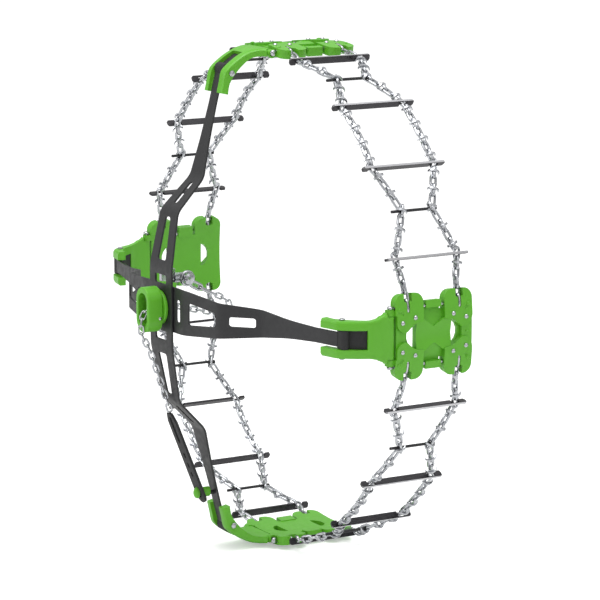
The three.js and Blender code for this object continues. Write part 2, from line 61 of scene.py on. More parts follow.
SEAT_R = 346.5 * MM
PLATE_LOW_R = 351.5 * MM
PLATE_HUB_R = 358.4 * MM
PLATE_TOP_R = 359.2 * MM
LAND_OUTER_R, LAND_INNER_R = 355.5 * MM, 357.2 * MM
BEND_R = 353 * MM  # radius at which a flat plate keeps its length when it is bent
LOBE_OUTER = 60.3 * MM
BLOCK_TOP_R, LAND_HALF = 358 * MM, 20 * MM
CUT_LOW_R, CUT_HIGH_R = 0.33, 0.38  # a cut between these goes right through a plate
STUD_PLACES = ((30, 25.1), (50, 19.4))  # (y, t) in mm in one quarter of a plate
KNUCKLE_R, FORK_KNUCKLE, PLATE_KNUCKLE = 5.8 * MM, 29 * MM, 38.2 * MM
HINGE_R, HINGE_Y = 350 * MM, -65 * MM
STRAP_R, STRAP_Y = 323.3 * MM, -122.7 * MM
FORK_NECK, FORK_SLOT = 25.2 * MM, 13 * MM
ANCHOR_T, ANCHOR_R, ANCHOR_HALF = 39 * MM, 354.5 * MM, 60 * MM
ANCHOR_PIN_R = 2.4 * MM

CHAIN_R = 350.8 * MM
BAR_ANGLES = (16.9, 37.9, 55.5, 76.1)
BAR_HALF, BAR_IN_R, BAR_OUT_R, BAR_THICK = 64.5 * MM, 346.8 * MM, 357 * MM, 3.5 * MM
NOTCH_Y, NOTCH_HALF, NOTCH_R = 48.5 * MM, 6.5 * MM, 354.9 * MM
TIE_ANGLES, TIE_FROM, TIE_TO = (27.4, 65.9), -40.5 * MM, 32 * MM

ARM_THICK = 3 * MM
EYE_R, EYE_TRAVEL, EYE_SLOT, EYE_HALF = 6.6 * MM, 6.2 * MM, 3.5 * MM, 12.5 * MM
VERTICAL_FACE_Y, HORIZONTAL_FACE_Y = -222 * MM, -218.4 * MM
BAND_LENGTH, BAND_HALF, BAND_THICK = 146.5 * MM, 12 * MM, 4 * MM
BAND_TOP, BAND_END = Vector((0, -211, -153.5)) * MM, Vector((0, -157, -290)) * MM
BAND_SLOTS = ((-45, -9, 3.2), (-71, -67, 2.2), (-87, -83, 2.2), (-102, -98, 2.2), (-134, -127, 4.2))
WHEEL_Y, WHEEL_Z = -238, 12  # axis of the chain wheel, in mm
PAWL_Y, PAWL_Z = -234, -13  # axis of the pawl, in mm
RING_CENTRE, RING_R, RING_WIRE = Vector((9, -186, 38)) * MM, 9.2 * MM, 2.4 * MM

CHAIN_RISE = 7  # degrees over which a tread chain climbs to its anchor pin
# Where the tread chains run, as (degrees past a station, distance from the middle in mm).
CHAIN_ROUTE = (
    (5.6, 40.5), (11, 41.5), (16.9, 48.5), (27.4, 24), (37.9, 48.5), (46.5, 47.5),
    (55.5, 48.5), (65.9, 24), (76.1, 48.5), (80.2, 42.5), (84.4, 40.5),
)
# The loose and the drawn length of the ratchet's chain, in mm.
LOOSE_ROUTE = (
    (0, -219, 0), (0, -228, -0.3), (0, -238, -0.4), (1.5, -247, -4), (3, -253.6, -12.5),
    (4, -256.4, -24), (4, -255.6, -35.5), (3.6, -249.8, -47.5), (3, -242.4, -61), (2.4, -235.9, -78.7),
    (1.6, -229.2, -97), (0.8, -221.3, -119), (0.2, -213.7, -140), (0, -210.4, -151),
)
DRAW_ROUTE = (
    (7, -174, 27.6), (3, -162, 21.5), (0, -148, 14.5), (0, -128, 5), (0, -116, -4), (0, -115, -12),
    (0, -124, -17), (0, -145, -15), (0, -175, -8), (0, -200, -1.5), (0, -218.4, 0),
)

# What a piece is made of: the frame's slot and the finish.
GREEN = ("green_plastic", "moulded_polypropylene")
ZINC = ("zinc_steel", "zinc_plated_steel")
CHAIN = ("chain_steel", "zinc_plated_steel")
DRAWN = ("bar_steel", "dark_drawn_steel")
STRIP = ("bar_steel", "rolled_strip_steel")
BLACK = ("black_steel", "powder_coated_steel")
ARM_END = ("black_steel", "moulded_rubber")
RUBBER = ("rubber", "moulded_rubber")


def linear(hex_colour):
    """Linear RGBA of an sRGB hex colour."""
    channels = [int(hex_colour[i:i + 2], 16) / 255 for i in (1, 3, 5)]
    return tuple(c / 12.92 if c <= 0.04045 else ((c + 0.055) / 1.055) ** 2.4 for c in channels) + (1.0,)


def length_setting(name, description, default):
    """A length that can be set, in metres."""
    return FloatProperty(name=name, description=description, default=default, unit="LENGTH")


def colour_setting(name, description, hex_colour):
    """A colour that can be set."""
    return FloatVectorProperty(name=name, description=description, default=linear(hex_colour),
                               size=4, min=0, max=1, subtype="COLOR")


class SnowChainSizes(bpy.types.PropertyGroup):
    """Sizes of the finished surfaces."""

    moulded_edge: length_setting(
        "Moulded edge", "Rounding on the edges of moulded plastic", 0.0011)
    steel_edge: length_setting(
        "Steel edge", "Rounding on the edges of cut steel", 0.0005)
    fork_chamfer: length_setting(
        "Fork chamfer", "Width of the chamfer along a fork's outer edges", 0.0042)
    link_wire: length_setting(
        "Tread link wire", "Wire diameter of the tread chains' links", 0.004)
    link_pitch: length_setting(
        "Tread link pitch", "Distance from one tread link to the next", 0.0138)
    link_width: length_setting(
        "Tread link width", "Outer width of a tread link", 0.0115)
    loose_wire: length_setting(
        "Draw link wire", "Wire diameter of the ratchet's chain", 0.0028)
    loose_pitch: length_setting(
        "Draw link pitch", "Distance from one link of the ratchet's chain to the next", 0.0105)
    loose_width: length_setting(
        "Draw link width", "Outer width of a link of the ratchet's chain", 0.0098)
    clip_half: length_setting(
        "Clip reach", "Half the width of the gripping clips on the tread chains", 0.0088)
    stud_radius: length_setting(
        "Stud radius", "Radius of the steel studs in a tread plate", 0.0028)


class SnowChainColours(bpy.types.PropertyGroup):
    """Colours of the finished surfaces."""

    plate: colour_setting(
        "Green plastic", "Colour of the moulded plates, forks and ratchet", "#5FB226")
    arm: colour_setting(
        "Powder coat", "Colour of the coated arms", "#232325")
    zinc: colour_setting(
        "Zinc plating", "Colour of the plated pins and chains", "#C4C6CA")
    strip: colour_setting(
        "Strip steel", "Colour of the crossbars", "#C9C9CC")
    rubber: colour_setting(
        "Rubber", "Colour of the tensioner and the pads", "#212122")
    floor: colour_setting(
        "Floor", "Colour of the studio floor", "#F1F1F1")


# Mesh tools ---------------------------------------------------------------------------------


def station_turn(degrees):
    """Turns a station's frame to its place round the axle."""
    return Matrix.Rotation(-math.radians(degrees), 4, "Y")


def outline_face(bm, points, corners=None, steps=4):
    """A flat face of an outline in XY. corners gives the radius to round at a point's index."""
    verts = [bm.verts.new((a, b, 0)) for a, b in points]
    bm.faces.new(verts)
    for index, radius in (corners or {}).items():
        bmesh.ops.bevel(bm, geom=[verts[index]], offset=radius, offset_type="OFFSET", segments=steps,
                        profile=0.5, affect="VERTICES", material=-1, clamp_overlap=True)
    return bm.faces[:]


def raise_faces(bm, faces, low, high):
    """Makes flat faces at height 0 into a closed prism from low to high."""
    grown = bmesh.ops.extrude_face_region(bm, geom=faces)["geom"]
    top = [item for item in grown if isinstance(item, bmesh.types.BMVert)]
    base = [vert for vert in bm.verts if vert not in set(top)]
    bmesh.ops.translate(bm, verts=top, vec=(0, 0, high))
    bmesh.ops.translate(bm, verts=base, vec=(0, 0, low))
    bmesh.ops.recalc_face_normals(bm, faces=bm.faces)


def prism(points, low, high, corners=None, steps=4):
    """A closed prism of an outline in XY."""
    bm = bmesh.new()
    raise_faces(bm, outline_face(bm, points, corners, steps), low, high)
    return bm


def box(low, high):
    """A box between two corners."""
    low, high = Vector(low), Vector(high)
    bm = bmesh.new()
    bmesh.ops.create_cube(bm, size=1)
    bmesh.ops.scale(bm, vec=high - low, verts=bm.verts)
    bmesh.ops.translate(bm, vec=(low + high) / 2, verts=bm.verts)
    return bm


def lathe(profile, axis, centre, steps=20):
    """Spins a profile of (distance along the axis, radius) round an axis through a centre."""
    bm = bmesh.new()
    verts = [bm.verts.new((radius, 0, along)) for along, radius in profile]
    edges = [bm.edges.new(pair) for pair in zip(verts, verts[1:])]
    bmesh.ops.spin(bm, geom=verts + edges, cent=(0, 0, 0), axis=(0, 0, 1), angle=2 * math.pi,
                   steps=steps, use_merge=True)
    bmesh.ops.remove_doubles(bm, verts=bm.verts, dist=1e-6)
    turn = Vector((0, 0, 1)).rotation_difference(Vector(axis)).to_matrix().to_4x4()
    bmesh.ops.transform(bm, matrix=Matrix.Translation(centre) @ turn, verts=bm.verts)
    bmesh.ops.recalc_face_normals(bm, faces=bm.faces)
    return bm


def rod(axis, centre, radius, half, steps=20):
    """A plain round bar, closed with flat ends."""
    return lathe([(-half, 0), (-half, radius), (half, radius), (half, 0)], axis, centre, steps)


def add_copy(bm, source, matrix):
    """Adds a turned copy of another mesh, which may be mirrored."""
    mesh = bpy.data.meshes.new("copy")
    source.to_mesh(mesh)
    mesh.transform(matrix)
    if matrix.determinant() < 0:
        mesh.flip_normals()
    bm.from_mesh(mesh)
    bpy.data.meshes.remove(mesh)


def work_object(bm):
    """A temporary object of a mesh that is being made."""
    mesh = bpy.data.meshes.new("work")
    bm.to_mesh(mesh)
    bm.free()
    obj = bpy.data.objects.new("work", mesh)
    bpy.context.scene.collection.objects.link(obj)
    return obj


def drop(obj):
    """Removes a temporary object and its mesh."""
    mesh = obj.data
    bpy.data.objects.remove(obj)
    bpy.data.meshes.remove(mesh)


def combine(bm, tools, operation):
    """Joins a closed mesh with others, or cuts it by them."""
    base = work_object(bm)
    cutters = [work_object(tool) for tool in tools]
    for cutter in cutters:
        modifier = base.modifiers.new("combine", "BOOLEAN")
        modifier.operation = operation
        modifier.solver = "EXACT"
        modifier.object = cutter
    depsgraph = bpy.context.evaluated_depsgraph_get()
    result = bpy.data.meshes.new_from_object(base.evaluated_get(depsgraph))
    out = bmesh.new()
    out.from_mesh(result)
    bpy.data.meshes.remove(result)
    for obj in [base, *cutters]:
        drop(obj)
    bmesh.ops.remove_doubles(out, verts=out.verts, dist=1e-6)
    bmesh.ops.dissolve_limit(out, angle_limit=math.radians(0.5), verts=out.verts, edges=out.edges)
    return out


def soften(bm, width, angle=34, segments=2):
    """Rounds the edges of a mesh that are sharper than an angle in degrees."""
    edges = [edge for edge in bm.edges
             if len(edge.link_faces) == 2 and edge.calc_face_angle(0) > math.radians(angle)]
    bmesh.ops.bevel(bm, geom=edges, offset=width, offset_type="OFFSET", segments=segments, profile=0.5,
                    affect="EDGES", material=-1, clamp_overlap=True)


def slice_at(bm, axis, places):
    """Cuts new edge loops across a mesh, so that it can bend there."""
    for place in places:
        geometry = bm.verts[:] + bm.edges[:] + bm.faces[:]
        bmesh.ops.bisect_plane(bm, geom=geometry, dist=1e-7, plane_co=Vector(axis) * place, plane_no=axis)


def span(low, high, count):
    """Evenly spaced values from low to high."""
    return [low + (high - low) * i / (count - 1) for i in range(count)]


def finish_piece(name, bm, body, material, replaces=(), crease=38):
    """Makes a mesh into a piece that rides on a body, with a finish."""
    slot, finish = material
    bmesh.ops.remove_doubles(bm, verts=bm.verts, dist=1e-7)
    bmesh.ops.recalc_face_normals(bm, faces=bm.faces)
    mesh = bpy.data.meshes.new(name)
    bm.to_mesh(mesh)
    bm.free()
    mesh.shade_smooth()
    mesh.set_sharp_from_angle(angle=math.radians(crease))
    mesh.materials.append(bpy.data.materials[finish])
    piece = bpy.data.objects.new(name, mesh)
    bpy.context.scene.collection.objects.link(piece)
    weights = piece.modifiers.new("Flat faces lead", "WEIGHTED_NORMAL")
    weights.keep_sharp = True
    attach(piece, body)
    if replaces:
        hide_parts(*replaces)
    return piece


def finish_at_stations(shape, name, body, material, replaces=(), crease=38, alternate=False):
    """Finishes a copy of a shape at every station, whose name takes the asterisk's place in the names.

    With alternate, the copies of every second quarter run the other way round the tyre.
    """
    swap = Matrix(((0, 0, 1, 0), (0, 1, 0, 0), (1, 0, 0, 0), (0, 0, 0, 1)))
    for station, degrees in STATIONS.items():
        bm = bmesh.new()
        matrix = station_turn(degrees)
        add_copy(bm, shape, matrix @ swap if alternate and degrees % 180 else matrix)
        nodes = [node.replace("*", station) for node in replaces]
        finish_piece(name.replace("*", station), bm, body.replace("*", station), material, nodes, crease)
    shape.free()


# Materials ----------------------------------------------------------------------------------


def add_node(tree, kind, settings=None, inputs=None):
    """Adds a node, sets its settings, and sets or links its inputs."""
    node = tree.nodes.new(kind)
    for name, value in (settings or {}).items():
        setattr(node, name, value)
    for name, value in (inputs or {}).items():
        if isinstance(value, bpy.types.NodeSocket):
            tree.links.new(value, node.inputs[name])
        else:
            node.inputs[name].default_value = value
    return node


def start_material(name):
    """A new node material with its Principled shader, tree and object coordinates."""
    material = bpy.data.materials.new(name)
    material.use_nodes = True
    tree = material.node_tree
    shader = tree.nodes["Principled BSDF"]
    place = add_node(tree, "ShaderNodeTexCoord").outputs["Object"]
    return tree, shader, place


def shade(colour, factor):
    """A colour made lighter or darker."""
    return tuple(min(1, channel * factor) for channel in colour[:3]) + (1.0,)


def mix_colour(tree, factor, dark, light):
    """A colour between two, chosen by a factor."""
    node = add_node(tree, "ShaderNodeMix", {"data_type": "RGBA"}, {"Factor": factor, "A": dark, "B": light})
    return next(out for out in node.outputs if out.type == "RGBA")


def noise(tree, place, size, detail=2.0, roughness=0.5):
    """Noise whose patches are about one size in metres."""
    return add_node(tree, "ShaderNodeTexNoise", None, {
        "Vector": place, "Scale": 1 / size, "Detail": detail, "Roughness": roughness}).outputs["Fac"]


def spread(tree, value, low, high, to_low, to_high):
    """Maps part of a value's range to another range."""
    return add_node(tree, "ShaderNodeMapRange", None, {
        "Value": value, "From Min": low, "From Max": high, "To Min": to_low, "To Max": to_high,
    }).outputs["Result"]


def bump(tree, shader, height, depth, strength):
    """Gives the shader a bump of a real depth."""
    node = add_node(tree, "ShaderNodeBump", None, {
        "Height": height, "Distance": depth, "Strength": strength})
    tree.links.new(node.outputs["Normal"], shader.inputs["Normal"])


def moulded_polypropylene(colour):
    """Injection-moulded polypropylene: an even waxy gloss over a fine spark-eroded grain."""
    tree, shader, place = start_material("moulded_polypropylene")
    patches = noise(tree, place, 24 * MM, 3)
    tone = mix_colour(tree, patches, shade(colour, 0.94), shade(colour, 1.05))
    tree.links.new(tone, shader.inputs["Base Color"])
    grain = noise(tree, place, 0.9 * MM, 2)  # real grain is about 0.1 mm, drawn coarser to show
    scuffs = noise(tree, place, 7 * MM, 4, 0.65)
    tree.links.new(spread(tree, scuffs, 0.3, 0.7, 0.33, 0.46), shader.inputs["Roughness"])
    bump(tree, shader, grain, 0.03 * MM, 0.35)
    shader.inputs["IOR"].default_value = 1.49
    shader.inputs["Subsurface Weight"].default_value = 0.05
    shader.inputs["Subsurface Radius"].default_value = (0.0012, 0.002, 0.0006)


def powder_coated_steel(colour):
    """Powder-coated spring steel: satin black with orange peel of about a millimetre."""
    tree, shader, place = start_material("powder_coated_steel")
    dust = noise(tree, place, 30 * MM, 4, 0.6)
    tone = mix_colour(tree, dust, shade(colour, 0.85), shade(colour, 1.2))
    tree.links.new(tone, shader.inputs["Base Color"])
    peel = noise(tree, place, 1.1 * MM, 3)
    sheen = noise(tree, place, 9 * MM, 3)
    tree.links.new(spread(tree, sheen, 0.3, 0.7, 0.4, 0.56), shader.inputs["Roughness"])
    bump(tree, shader, peel, 0.04 * MM, 0.5)
    shader.inputs["IOR"].default_value = 1.52


def zinc_plated_steel(colour):
    """Bright zinc plating: a mirror-like silver with faint cloudy patches and drawn lines."""
    tree, shader, place = start_material("zinc_plated_steel")
    clouds = noise(tree, place, 5 * MM, 3)
    tone = mix_colour(tree, clouds, shade(colour, 0.82), shade(colour, 1.08))
    tree.links.new(tone, shader.inputs["Base Color"])
    tree.links.new(spread(tree, clouds, 0.3, 0.7, 0.14, 0.3), shader.inputs["Roughness"])
    bump(tree, shader, noise(tree, place, 0.8 * MM, 2), 0.02 * MM, 0.3)
    shader.inputs["Metallic"].default_value = 1.0


def rolled_strip_steel(colour):
    """Hot-rolled strip: dark mill scale with rolling lines on the sides, which also serves as their painted
    shade, and a painted highlight on the edge that faces the road.
    """
    tree, shader, place = start_material("rolled_strip_steel")
    lines = add_node(tree, "ShaderNodeMapping", None, {"Vector": place, "Scale": (1, 0.05, 1)})
    streaks = noise(tree, lines.outputs["Vector"], 0.7 * MM, 3)
    scale = mix_colour(tree, streaks, linear("#323133"), linear("#555457"))
    normal = add_node(tree, "ShaderNodeTexCoord").outputs["Normal"]
    flat = add_node(tree, "ShaderNodeVectorMath", {"operation": "MULTIPLY"})
    tree.links.new(place, flat.inputs[0])
    flat.inputs[1].default_value = (1, 0, 1)
    outward = add_node(tree, "ShaderNodeVectorMath", {"operation": "NORMALIZE"})
    tree.links.new(flat.outputs["Vector"], outward.inputs[0])
    facing = add_node(tree, "ShaderNodeVectorMath", {"operation": "DOT_PRODUCT"})
    tree.links.new(outward.outputs["Vector"], facing.inputs[0])
    tree.links.new(normal, facing.inputs[1])
    # Painted highlight: faces that point away from the axle take the bright strip colour. The side faces keep
    # the dark streaked colour, which is mill scale and painted shade.
    painted_edge_highlight = spread(tree, facing.outputs["Value"], 0.6, 0.9, 0, 1)
    tree.links.new(mix_colour(tree, painted_edge_highlight, scale, colour), shader.inputs["Base Color"])
    tree.links.new(spread(tree, streaks, 0.3, 0.7, 0.22, 0.4), shader.inputs["Roughness"])
    bump(tree, shader, streaks, 0.02 * MM, 0.4)
    shader.inputs["Metallic"].default_value = 1.0


def dark_drawn_steel():
    """Black-oxide drawn wire: dark grey with a dull shine, used for tie rods."""
    tree, shader, place = start_material("dark_drawn_steel")
    rubbed = noise(tree, place, 3 * MM, 3)
    tone = mix_colour(tree, rubbed, linear("#2E2E30"), linear("#4A4A4C"))
    tree.links.new(tone, shader.inputs["Base Color"])
    tree.links.new(spread(tree, rubbed, 0.3, 0.7, 0.36, 0.55), shader.inputs["Roughness"])
    shader.inputs["Metallic"].default_value = 0.8


def moulded_rubber(colour):
    """EPDM rubber: nearly black and dull, with a fine dusty bloom."""
    tree, shader, place = start_material("moulded_rubber")
    bloom = noise(tree, place, 6 * MM, 5, 0.65)
    tone = mix_colour(tree, bloom, shade(colour, 0.8), shade(colour, 1.5))
    tree.links.new(tone, shader.inputs["Base Color"])
    tree.links.new(spread(tree, bloom, 0.3, 0.7, 0.6, 0.8), shader.inputs["Roughness"])
    bump(tree, shader, noise(tree, place, 0.7 * MM, 2), 0.04 * MM, 0.5)
    shader.inputs["IOR"].default_value = 1.5


# Tread plates ---------------------------------------------------------------------------------


def mirrored(points, sign_y, sign_t):
    """An outline in mm, (y, t), as (t, y) in metres in one of the four quarters."""
    return [(t * sign_t * MM, y * sign_y * MM) for y, t in points]


def lobe(sign_y, sign_t):
    """One of a plate's four lobes, round at its two outer corners."""
    points = ((16.6, 19), (16.6, 58), (60.3, 58), (60.3, 17), (52, 6.5), (43, 6.5), (37, 12.5), (27, 18))
    corners = {1: 13 * MM, 2: 13 * MM, 3: 6 * MM, 4: 5 * MM, 5: 3 * MM, 6: 4 * MM}
    return prism(mirrored(points, sign_y, sign_t), SEAT_R, PLATE_TOP_R, corners, 6)


def hub():
    """The plate's middle: a bow tie whose top slopes from both ends down to a valley."""
    points = ((-27.5, -21), (-15, -21), (0, -11), (15, -21), (27.5, -21), (27.5, 21), (15, 21), (0, 11),
              (-15, 21), (-27.5, 21))
    bm = prism(mirrored(points, 1, 1), SEAT_R, PLATE_HUB_R)
    slice_at(bm, (1, 0, 0), (0.0,))
    for vert in bm.verts:
        if vert.co.z > PLATE_LOW_R:
            vert.co.z -= 4.2 * MM * (1 - abs(vert.co.x) / (21 * MM))
    return bm


def pocket_floors():
    """Slopes from the low base up to the hub's V on both sides."""
    floors = []
    for sign in (1, -1):
        bm = prism(mirrored(((-17, 10), (17, 10), (17, 33), (-17, 33)), 1, sign), SEAT_R, PLATE_LOW_R)
        for vert in bm.verts:
            if abs(vert.co.x) < 20 * MM and vert.co.z > SEAT_R + MM:
                vert.co.z += 3.6 * MM
        floors.append(bm)
    return floors


def small_boss(sign_y, sign_t):
    """A round ejector boss near a lobe's outer edge."""
    profile = [(-3 * MM, 0), (-3 * MM, 3.1 * MM), (0.5 * MM, 3.1 * MM), (1.2 * MM, 2.3 * MM), (1.5 * MM, 0)]
    return lathe(profile, (0, 0, 1), (36.5 * MM * sign_t, 54.3 * MM * sign_y, PLATE_TOP_R), 14)


def flat_knuckle(sign):
    """A hinge knuckle of the plate with the web that joins it to the lobes."""
    low, high = sorted((sign * (FORK_KNUCKLE + GAP), sign * PLATE_KNUCKLE))
    centre = ((low + high) / 2, HINGE_Y, HINGE_R)
    knuckle = rod((1, 0, 0), centre, KNUCKLE_R, (high - low) / 2, 24)
    web = box((low, HINGE_Y, SEAT_R - 0.5 * MM), (high, -LOBE_OUTER + 3 * MM, HINGE_R + KNUCKLE_R - 0.3 * MM))
    return combine(knuckle, [web], "UNION")


def plate_cuts():
    """Windows, chain slots and bores, as the solids that are cut away."""
    cuts = [rod((1, 0, 0), (0, HINGE_Y, HINGE_R), 3.3 * MM, 50 * MM)]
    window = ((27.5, -17.5), (27.5, 17.5), (33, 15.5), (37.5, 10), (40, 3.5), (40, -3.5),
              (37.5, -10), (33, -15.5))
    for sign in (1, -1):
        cuts.append(prism(mirrored(window, sign, 1), CUT_LOW_R, CUT_HIGH_R, {0: MM, 1: MM}))
        cuts.append(rod((0, 1, 0), (ANCHOR_T * sign, 0, ANCHOR_R), 2.9 * MM, 61 * MM))
        for side in (1, -1):
            mouth = ((34.5, 75), (34.5, 48), (37.7, 45.5), (43.3, 45.5), (46.5, 48), (46.5, 75))
            cuts.append(prism(mirrored(mouth, side, sign), CUT_LOW_R, CUT_HIGH_R, {2: MM, 3: MM}))
            groove = ((38.2, 50), (38.2, 35), (39.4, 32.6), (41.6, 32.6), (42.8, 35), (42.8, 50))
            cuts.append(prism(mirrored(groove, side, sign), 348.6 * MM, CUT_HIGH_R))
            scoop = Vector((31.6 * MM * sign, 50.2 * MM * side, PLATE_TOP_R))
            lift = Vector((0, 0, 0.9 * MM))
            cuts.append(rod((0.5 * sign, 0.42 * side, 0), scoop + lift, 2 * MM, 2.6 * MM, 12))
    return cuts


def bend_to_tread(bm):
    """Bends a flat plate, whose X is its length round the tread and Z its radius, round the axle."""
    slice_at(bm, (1, 0, 0), span(-57 * MM, 57 * MM, 13))
    for vert in bm.verts:
        angle = vert.co.x / BEND_R
        vert.co = Vector((vert.co.z * math.cos(angle), vert.co.y, vert.co.z * math.sin(angle)))


def plate_shape(edge):
    """A whole tread plate, flat until its last step."""
    quarters = [(y, t) for y in (1, -1) for t in (1, -1)]
    base = box((-31 * MM, HINGE_Y + 7.5 * MM, SEAT_R), (31 * MM, LOBE_OUTER, PLATE_LOW_R))
    parts = [lobe(*quarter) for quarter in quarters]
    parts += [small_boss(*quarter) for quarter in quarters]
    parts += [hub(), *pocket_floors()]
    for sign in (1, -1):
        low, high = sorted((30 * MM * sign, 46 * MM * sign))
        parts.append(box((low, -12 * MM, SEAT_R - MM), (high, 12 * MM, PLATE_LOW_R)))
        low, high = sorted((36 * MM * sign, 46 * MM * sign))
        parts.append(box((low, -12 * MM, SEAT_R - MM), (high, 12 * MM, BLOCK_TOP_R)))
    parts.append(box((-LAND_HALF, HINGE_Y + 6.7 * MM, SEAT_R), (LAND_HALF, -44 * MM, LAND_OUTER_R)))
    parts.append(box((-LAND_HALF, 44 * MM, SEAT_R), (LAND_HALF, LOBE_OUTER, LAND_INNER_R)))
    dot = [(-2 * MM, 0), (-2 * MM, 1.8 * MM), (0.7 * MM, 1.8 * MM), (1.1 * MM, 1.1 * MM), (1.2 * MM, 0)]
    parts.append(lathe(dot, (0, 0, 1), (0, 52 * MM, LAND_INNER_R), 12))
    fork_room = box((-FORK_KNUCKLE - GAP, HINGE_Y - 0.01, CUT_LOW_R),
                    (FORK_KNUCKLE + GAP, HINGE_Y + 6.6 * MM, CUT_HIGH_R))
    bm = combine(combine(base, parts, "UNION"), [fork_room], "DIFFERENCE")
    bm = combine(bm, [flat_knuckle(1), flat_knuckle(-1)], "UNION")
    bm = combine(bm, plate_cuts(), "DIFFERENCE")
    soften(bm, edge)
    bend_to_tread(bm)
    return bm


def stud_points():
    """Where the steel studs stand on a plate, as (y, t)."""
    return [(y * sy * MM, t * st * MM) for y, t in STUD_PLACES for sy in (1, -1) for st in (1, -1)]


def studs_shape(radius):
    """A plate's eight studs: a collar with a domed carbide tip."""
    profile = [(-6 * MM, 0), (-6 * MM, radius * 0.8), (0.1 * MM, radius * 0.8), (0.2 * MM, radius * 1.1),
               (0.9 * MM, radius * 1.1), (1.3 * MM, radius * 0.95), (1.9 * MM, radius * 0.8),
               (2.5 * MM, radius * 0.5), (2.75 * MM, 0)]
    whole = bmesh.new()
    for y, t in stud_points():
        angle = t / BEND_R
        outward = Vector((math.cos(angle), 0, math.sin(angle)))
        stud = lathe(profile, outward, outward * PLATE_TOP_R + Vector((0, y, 0)), 16)
        add_copy(whole, stud, Matrix())
        stud.free()
    return whole


class SNOWCHAIN_OT_plates(bpy.types.Operator):
    """Adds the four moulded tread plates and their studs"""

    bl_idname = "snowchain.plates"
    bl_label = "Tread plates"

    def execute(self, context):
        sizes = context.scene.snowchain_sizes
        finish_at_stations(plate_shape(sizes.moulded_edge), "plate_*", "tread_ring", GREEN, ["tread_plate_*"])
        finish_at_stations(studs_shape(sizes.stud_radius), "studs_*", "tread_ring", ZINC)
        return {"FINISHED"}


# Forks ----------------------------------------------------------------------------------------

# The fork's outer and inner surface from the hinge to the tips, as (radius, y) in mm, in pairs.
FORK_OUTER = ((355.7, -65), (355.8, -71.2), (355.8, -71.6), (355.6, -80), (354, -90), (350.7, -99),
              (346.2, -108), (340.6, -117), (333, -127), (325.5, -133.5), (312, -136.6), (296.5, -140.2))
FORK_INNER = ((344.3, -65), (344.6, -71.2), (344.6, -71.6), (344.7, -80), (343.4, -88.5), (340, -96),
              (334.4, -103.6), (327.4, -111.4), (319, -118.8), (309.5, -125), (301, -127.4), (294, -128.4))
FORK_HALF = (29, 29, 35, 30.2, 26.4, 25.2, 25.2, 25.2, 25.2, 25.2, 25.4, 25.7)
FORK_SLOT_ROW = 5


def fork_rows():
    """Rows along the fork: outer point, inner point and half width, smoothed between the pairs."""
    rows = []
    for i in range(len(FORK_OUTER)):
        rows.append((FORK_OUTER[i], FORK_INNER[i], FORK_HALF[i]))
        if 2 <= i < len(FORK_OUTER) - 1:
            blends = []
            for line in (FORK_OUTER, FORK_INNER):
                before, here, after = line[max(i - 1, 2)], line[i], line[i + 1]
                beyond = line[min(i + 2, len(line) - 1)]
                handle = [here[k] + (after[k] - before[k]) / 6 for k in (0, 1)]
                return_handle = [after[k] - (beyond[k] - here[k]) / 6 for k in (0, 1)]
                curve = interpolate_bezier(Vector(here).to_3d(), Vector(handle).to_3d(),
                                           Vector(return_handle).to_3d(), Vector(after).to_3d(), 4)
                blends.append(curve[1:3])
            for k in (0, 1):
                share = (k + 1) / 3
                flare = (1 - share) ** 2 if i < FORK_SLOT_ROW else 1 - share
                half = FORK_HALF[i + 1] + (FORK_HALF[i] - FORK_HALF[i + 1]) * flare
                rows.append((blends[0][k], blends[1][k], half))
    return rows


def fork_shape(edge, chamfer):
    """A fork: a grid with its slot taken out, thickened and laid over the shoulder."""
    rows = fork_rows()
    slot_row = 2 + (FORK_SLOT_ROW - 2) * 3
    last_column = 5
    bm = bmesh.new()
    bmesh.ops.create_grid(bm, x_segments=len(rows) - 1, y_segments=last_column, size=1)
    row, column = bm.verts.layers.int.new("row"), bm.verts.layers.int.new("column")
    for vert in bm.verts:
        vert[row] = round((vert.co.x + 1) / 2 * (len(rows) - 1))
        vert[column] = round((vert.co.y + 1) / 2 * last_column)
    slot = [face for face in bm.faces if min(vert[row] for vert in face.verts) >= slot_row
            and {vert[column] for vert in face.verts} == {2, 3}]
    bmesh.ops.delete(bm, geom=slot, context="FACES")
    grown = bmesh.ops.extrude_face_region(bm, geom=bm.faces[:])["geom"]
    upper = {item for item in grown if isinstance(item, bmesh.types.BMVert)}
    for vert in bm.verts:
        outer, inner, half = rows[vert[row]]
        half *= MM
        across = (-half, chamfer - half, -FORK_SLOT, FORK_SLOT, half - chamfer, half)[vert[column]]
        outer, inner = Vector(outer[:2]) * MM, Vector(inner[:2]) * MM
        spot = outer if vert in upper else inner
        if vert in upper and vert[column] in (0, last_column):
            spot = spot + (inner - outer).normalized() * 0.62 * chamfer
        vert.co = (spot.x, spot.y, across)
    bmesh.ops.recalc_face_normals(bm, faces=bm.faces)
    knuckle = rod((0, 0, 1), (HINGE_R, HINGE_Y, 0), KNUCKLE_R, FORK_KNUCKLE, 24)
    bm = combine(bm, [knuckle], "UNION")
    soften(bm, edge, 40)
    return bm


def rivet_profile(radius, shank, half, rise):
    """Profile of a pin with a round head at both ends, as (distance along, radius)."""
    head = ((0, 0.72), (0.12, 0.9), (0.32, 1), (0.55, 0.97), (0.76, 0.78), (0.92, 0.46), (1, 0))
    half_side = [(0, shank), (half, shank), *((half + rise * along, radius * share) for along, share in head)]
    return [(-along, r) for along, r in reversed(half_side)] + half_side[1:]


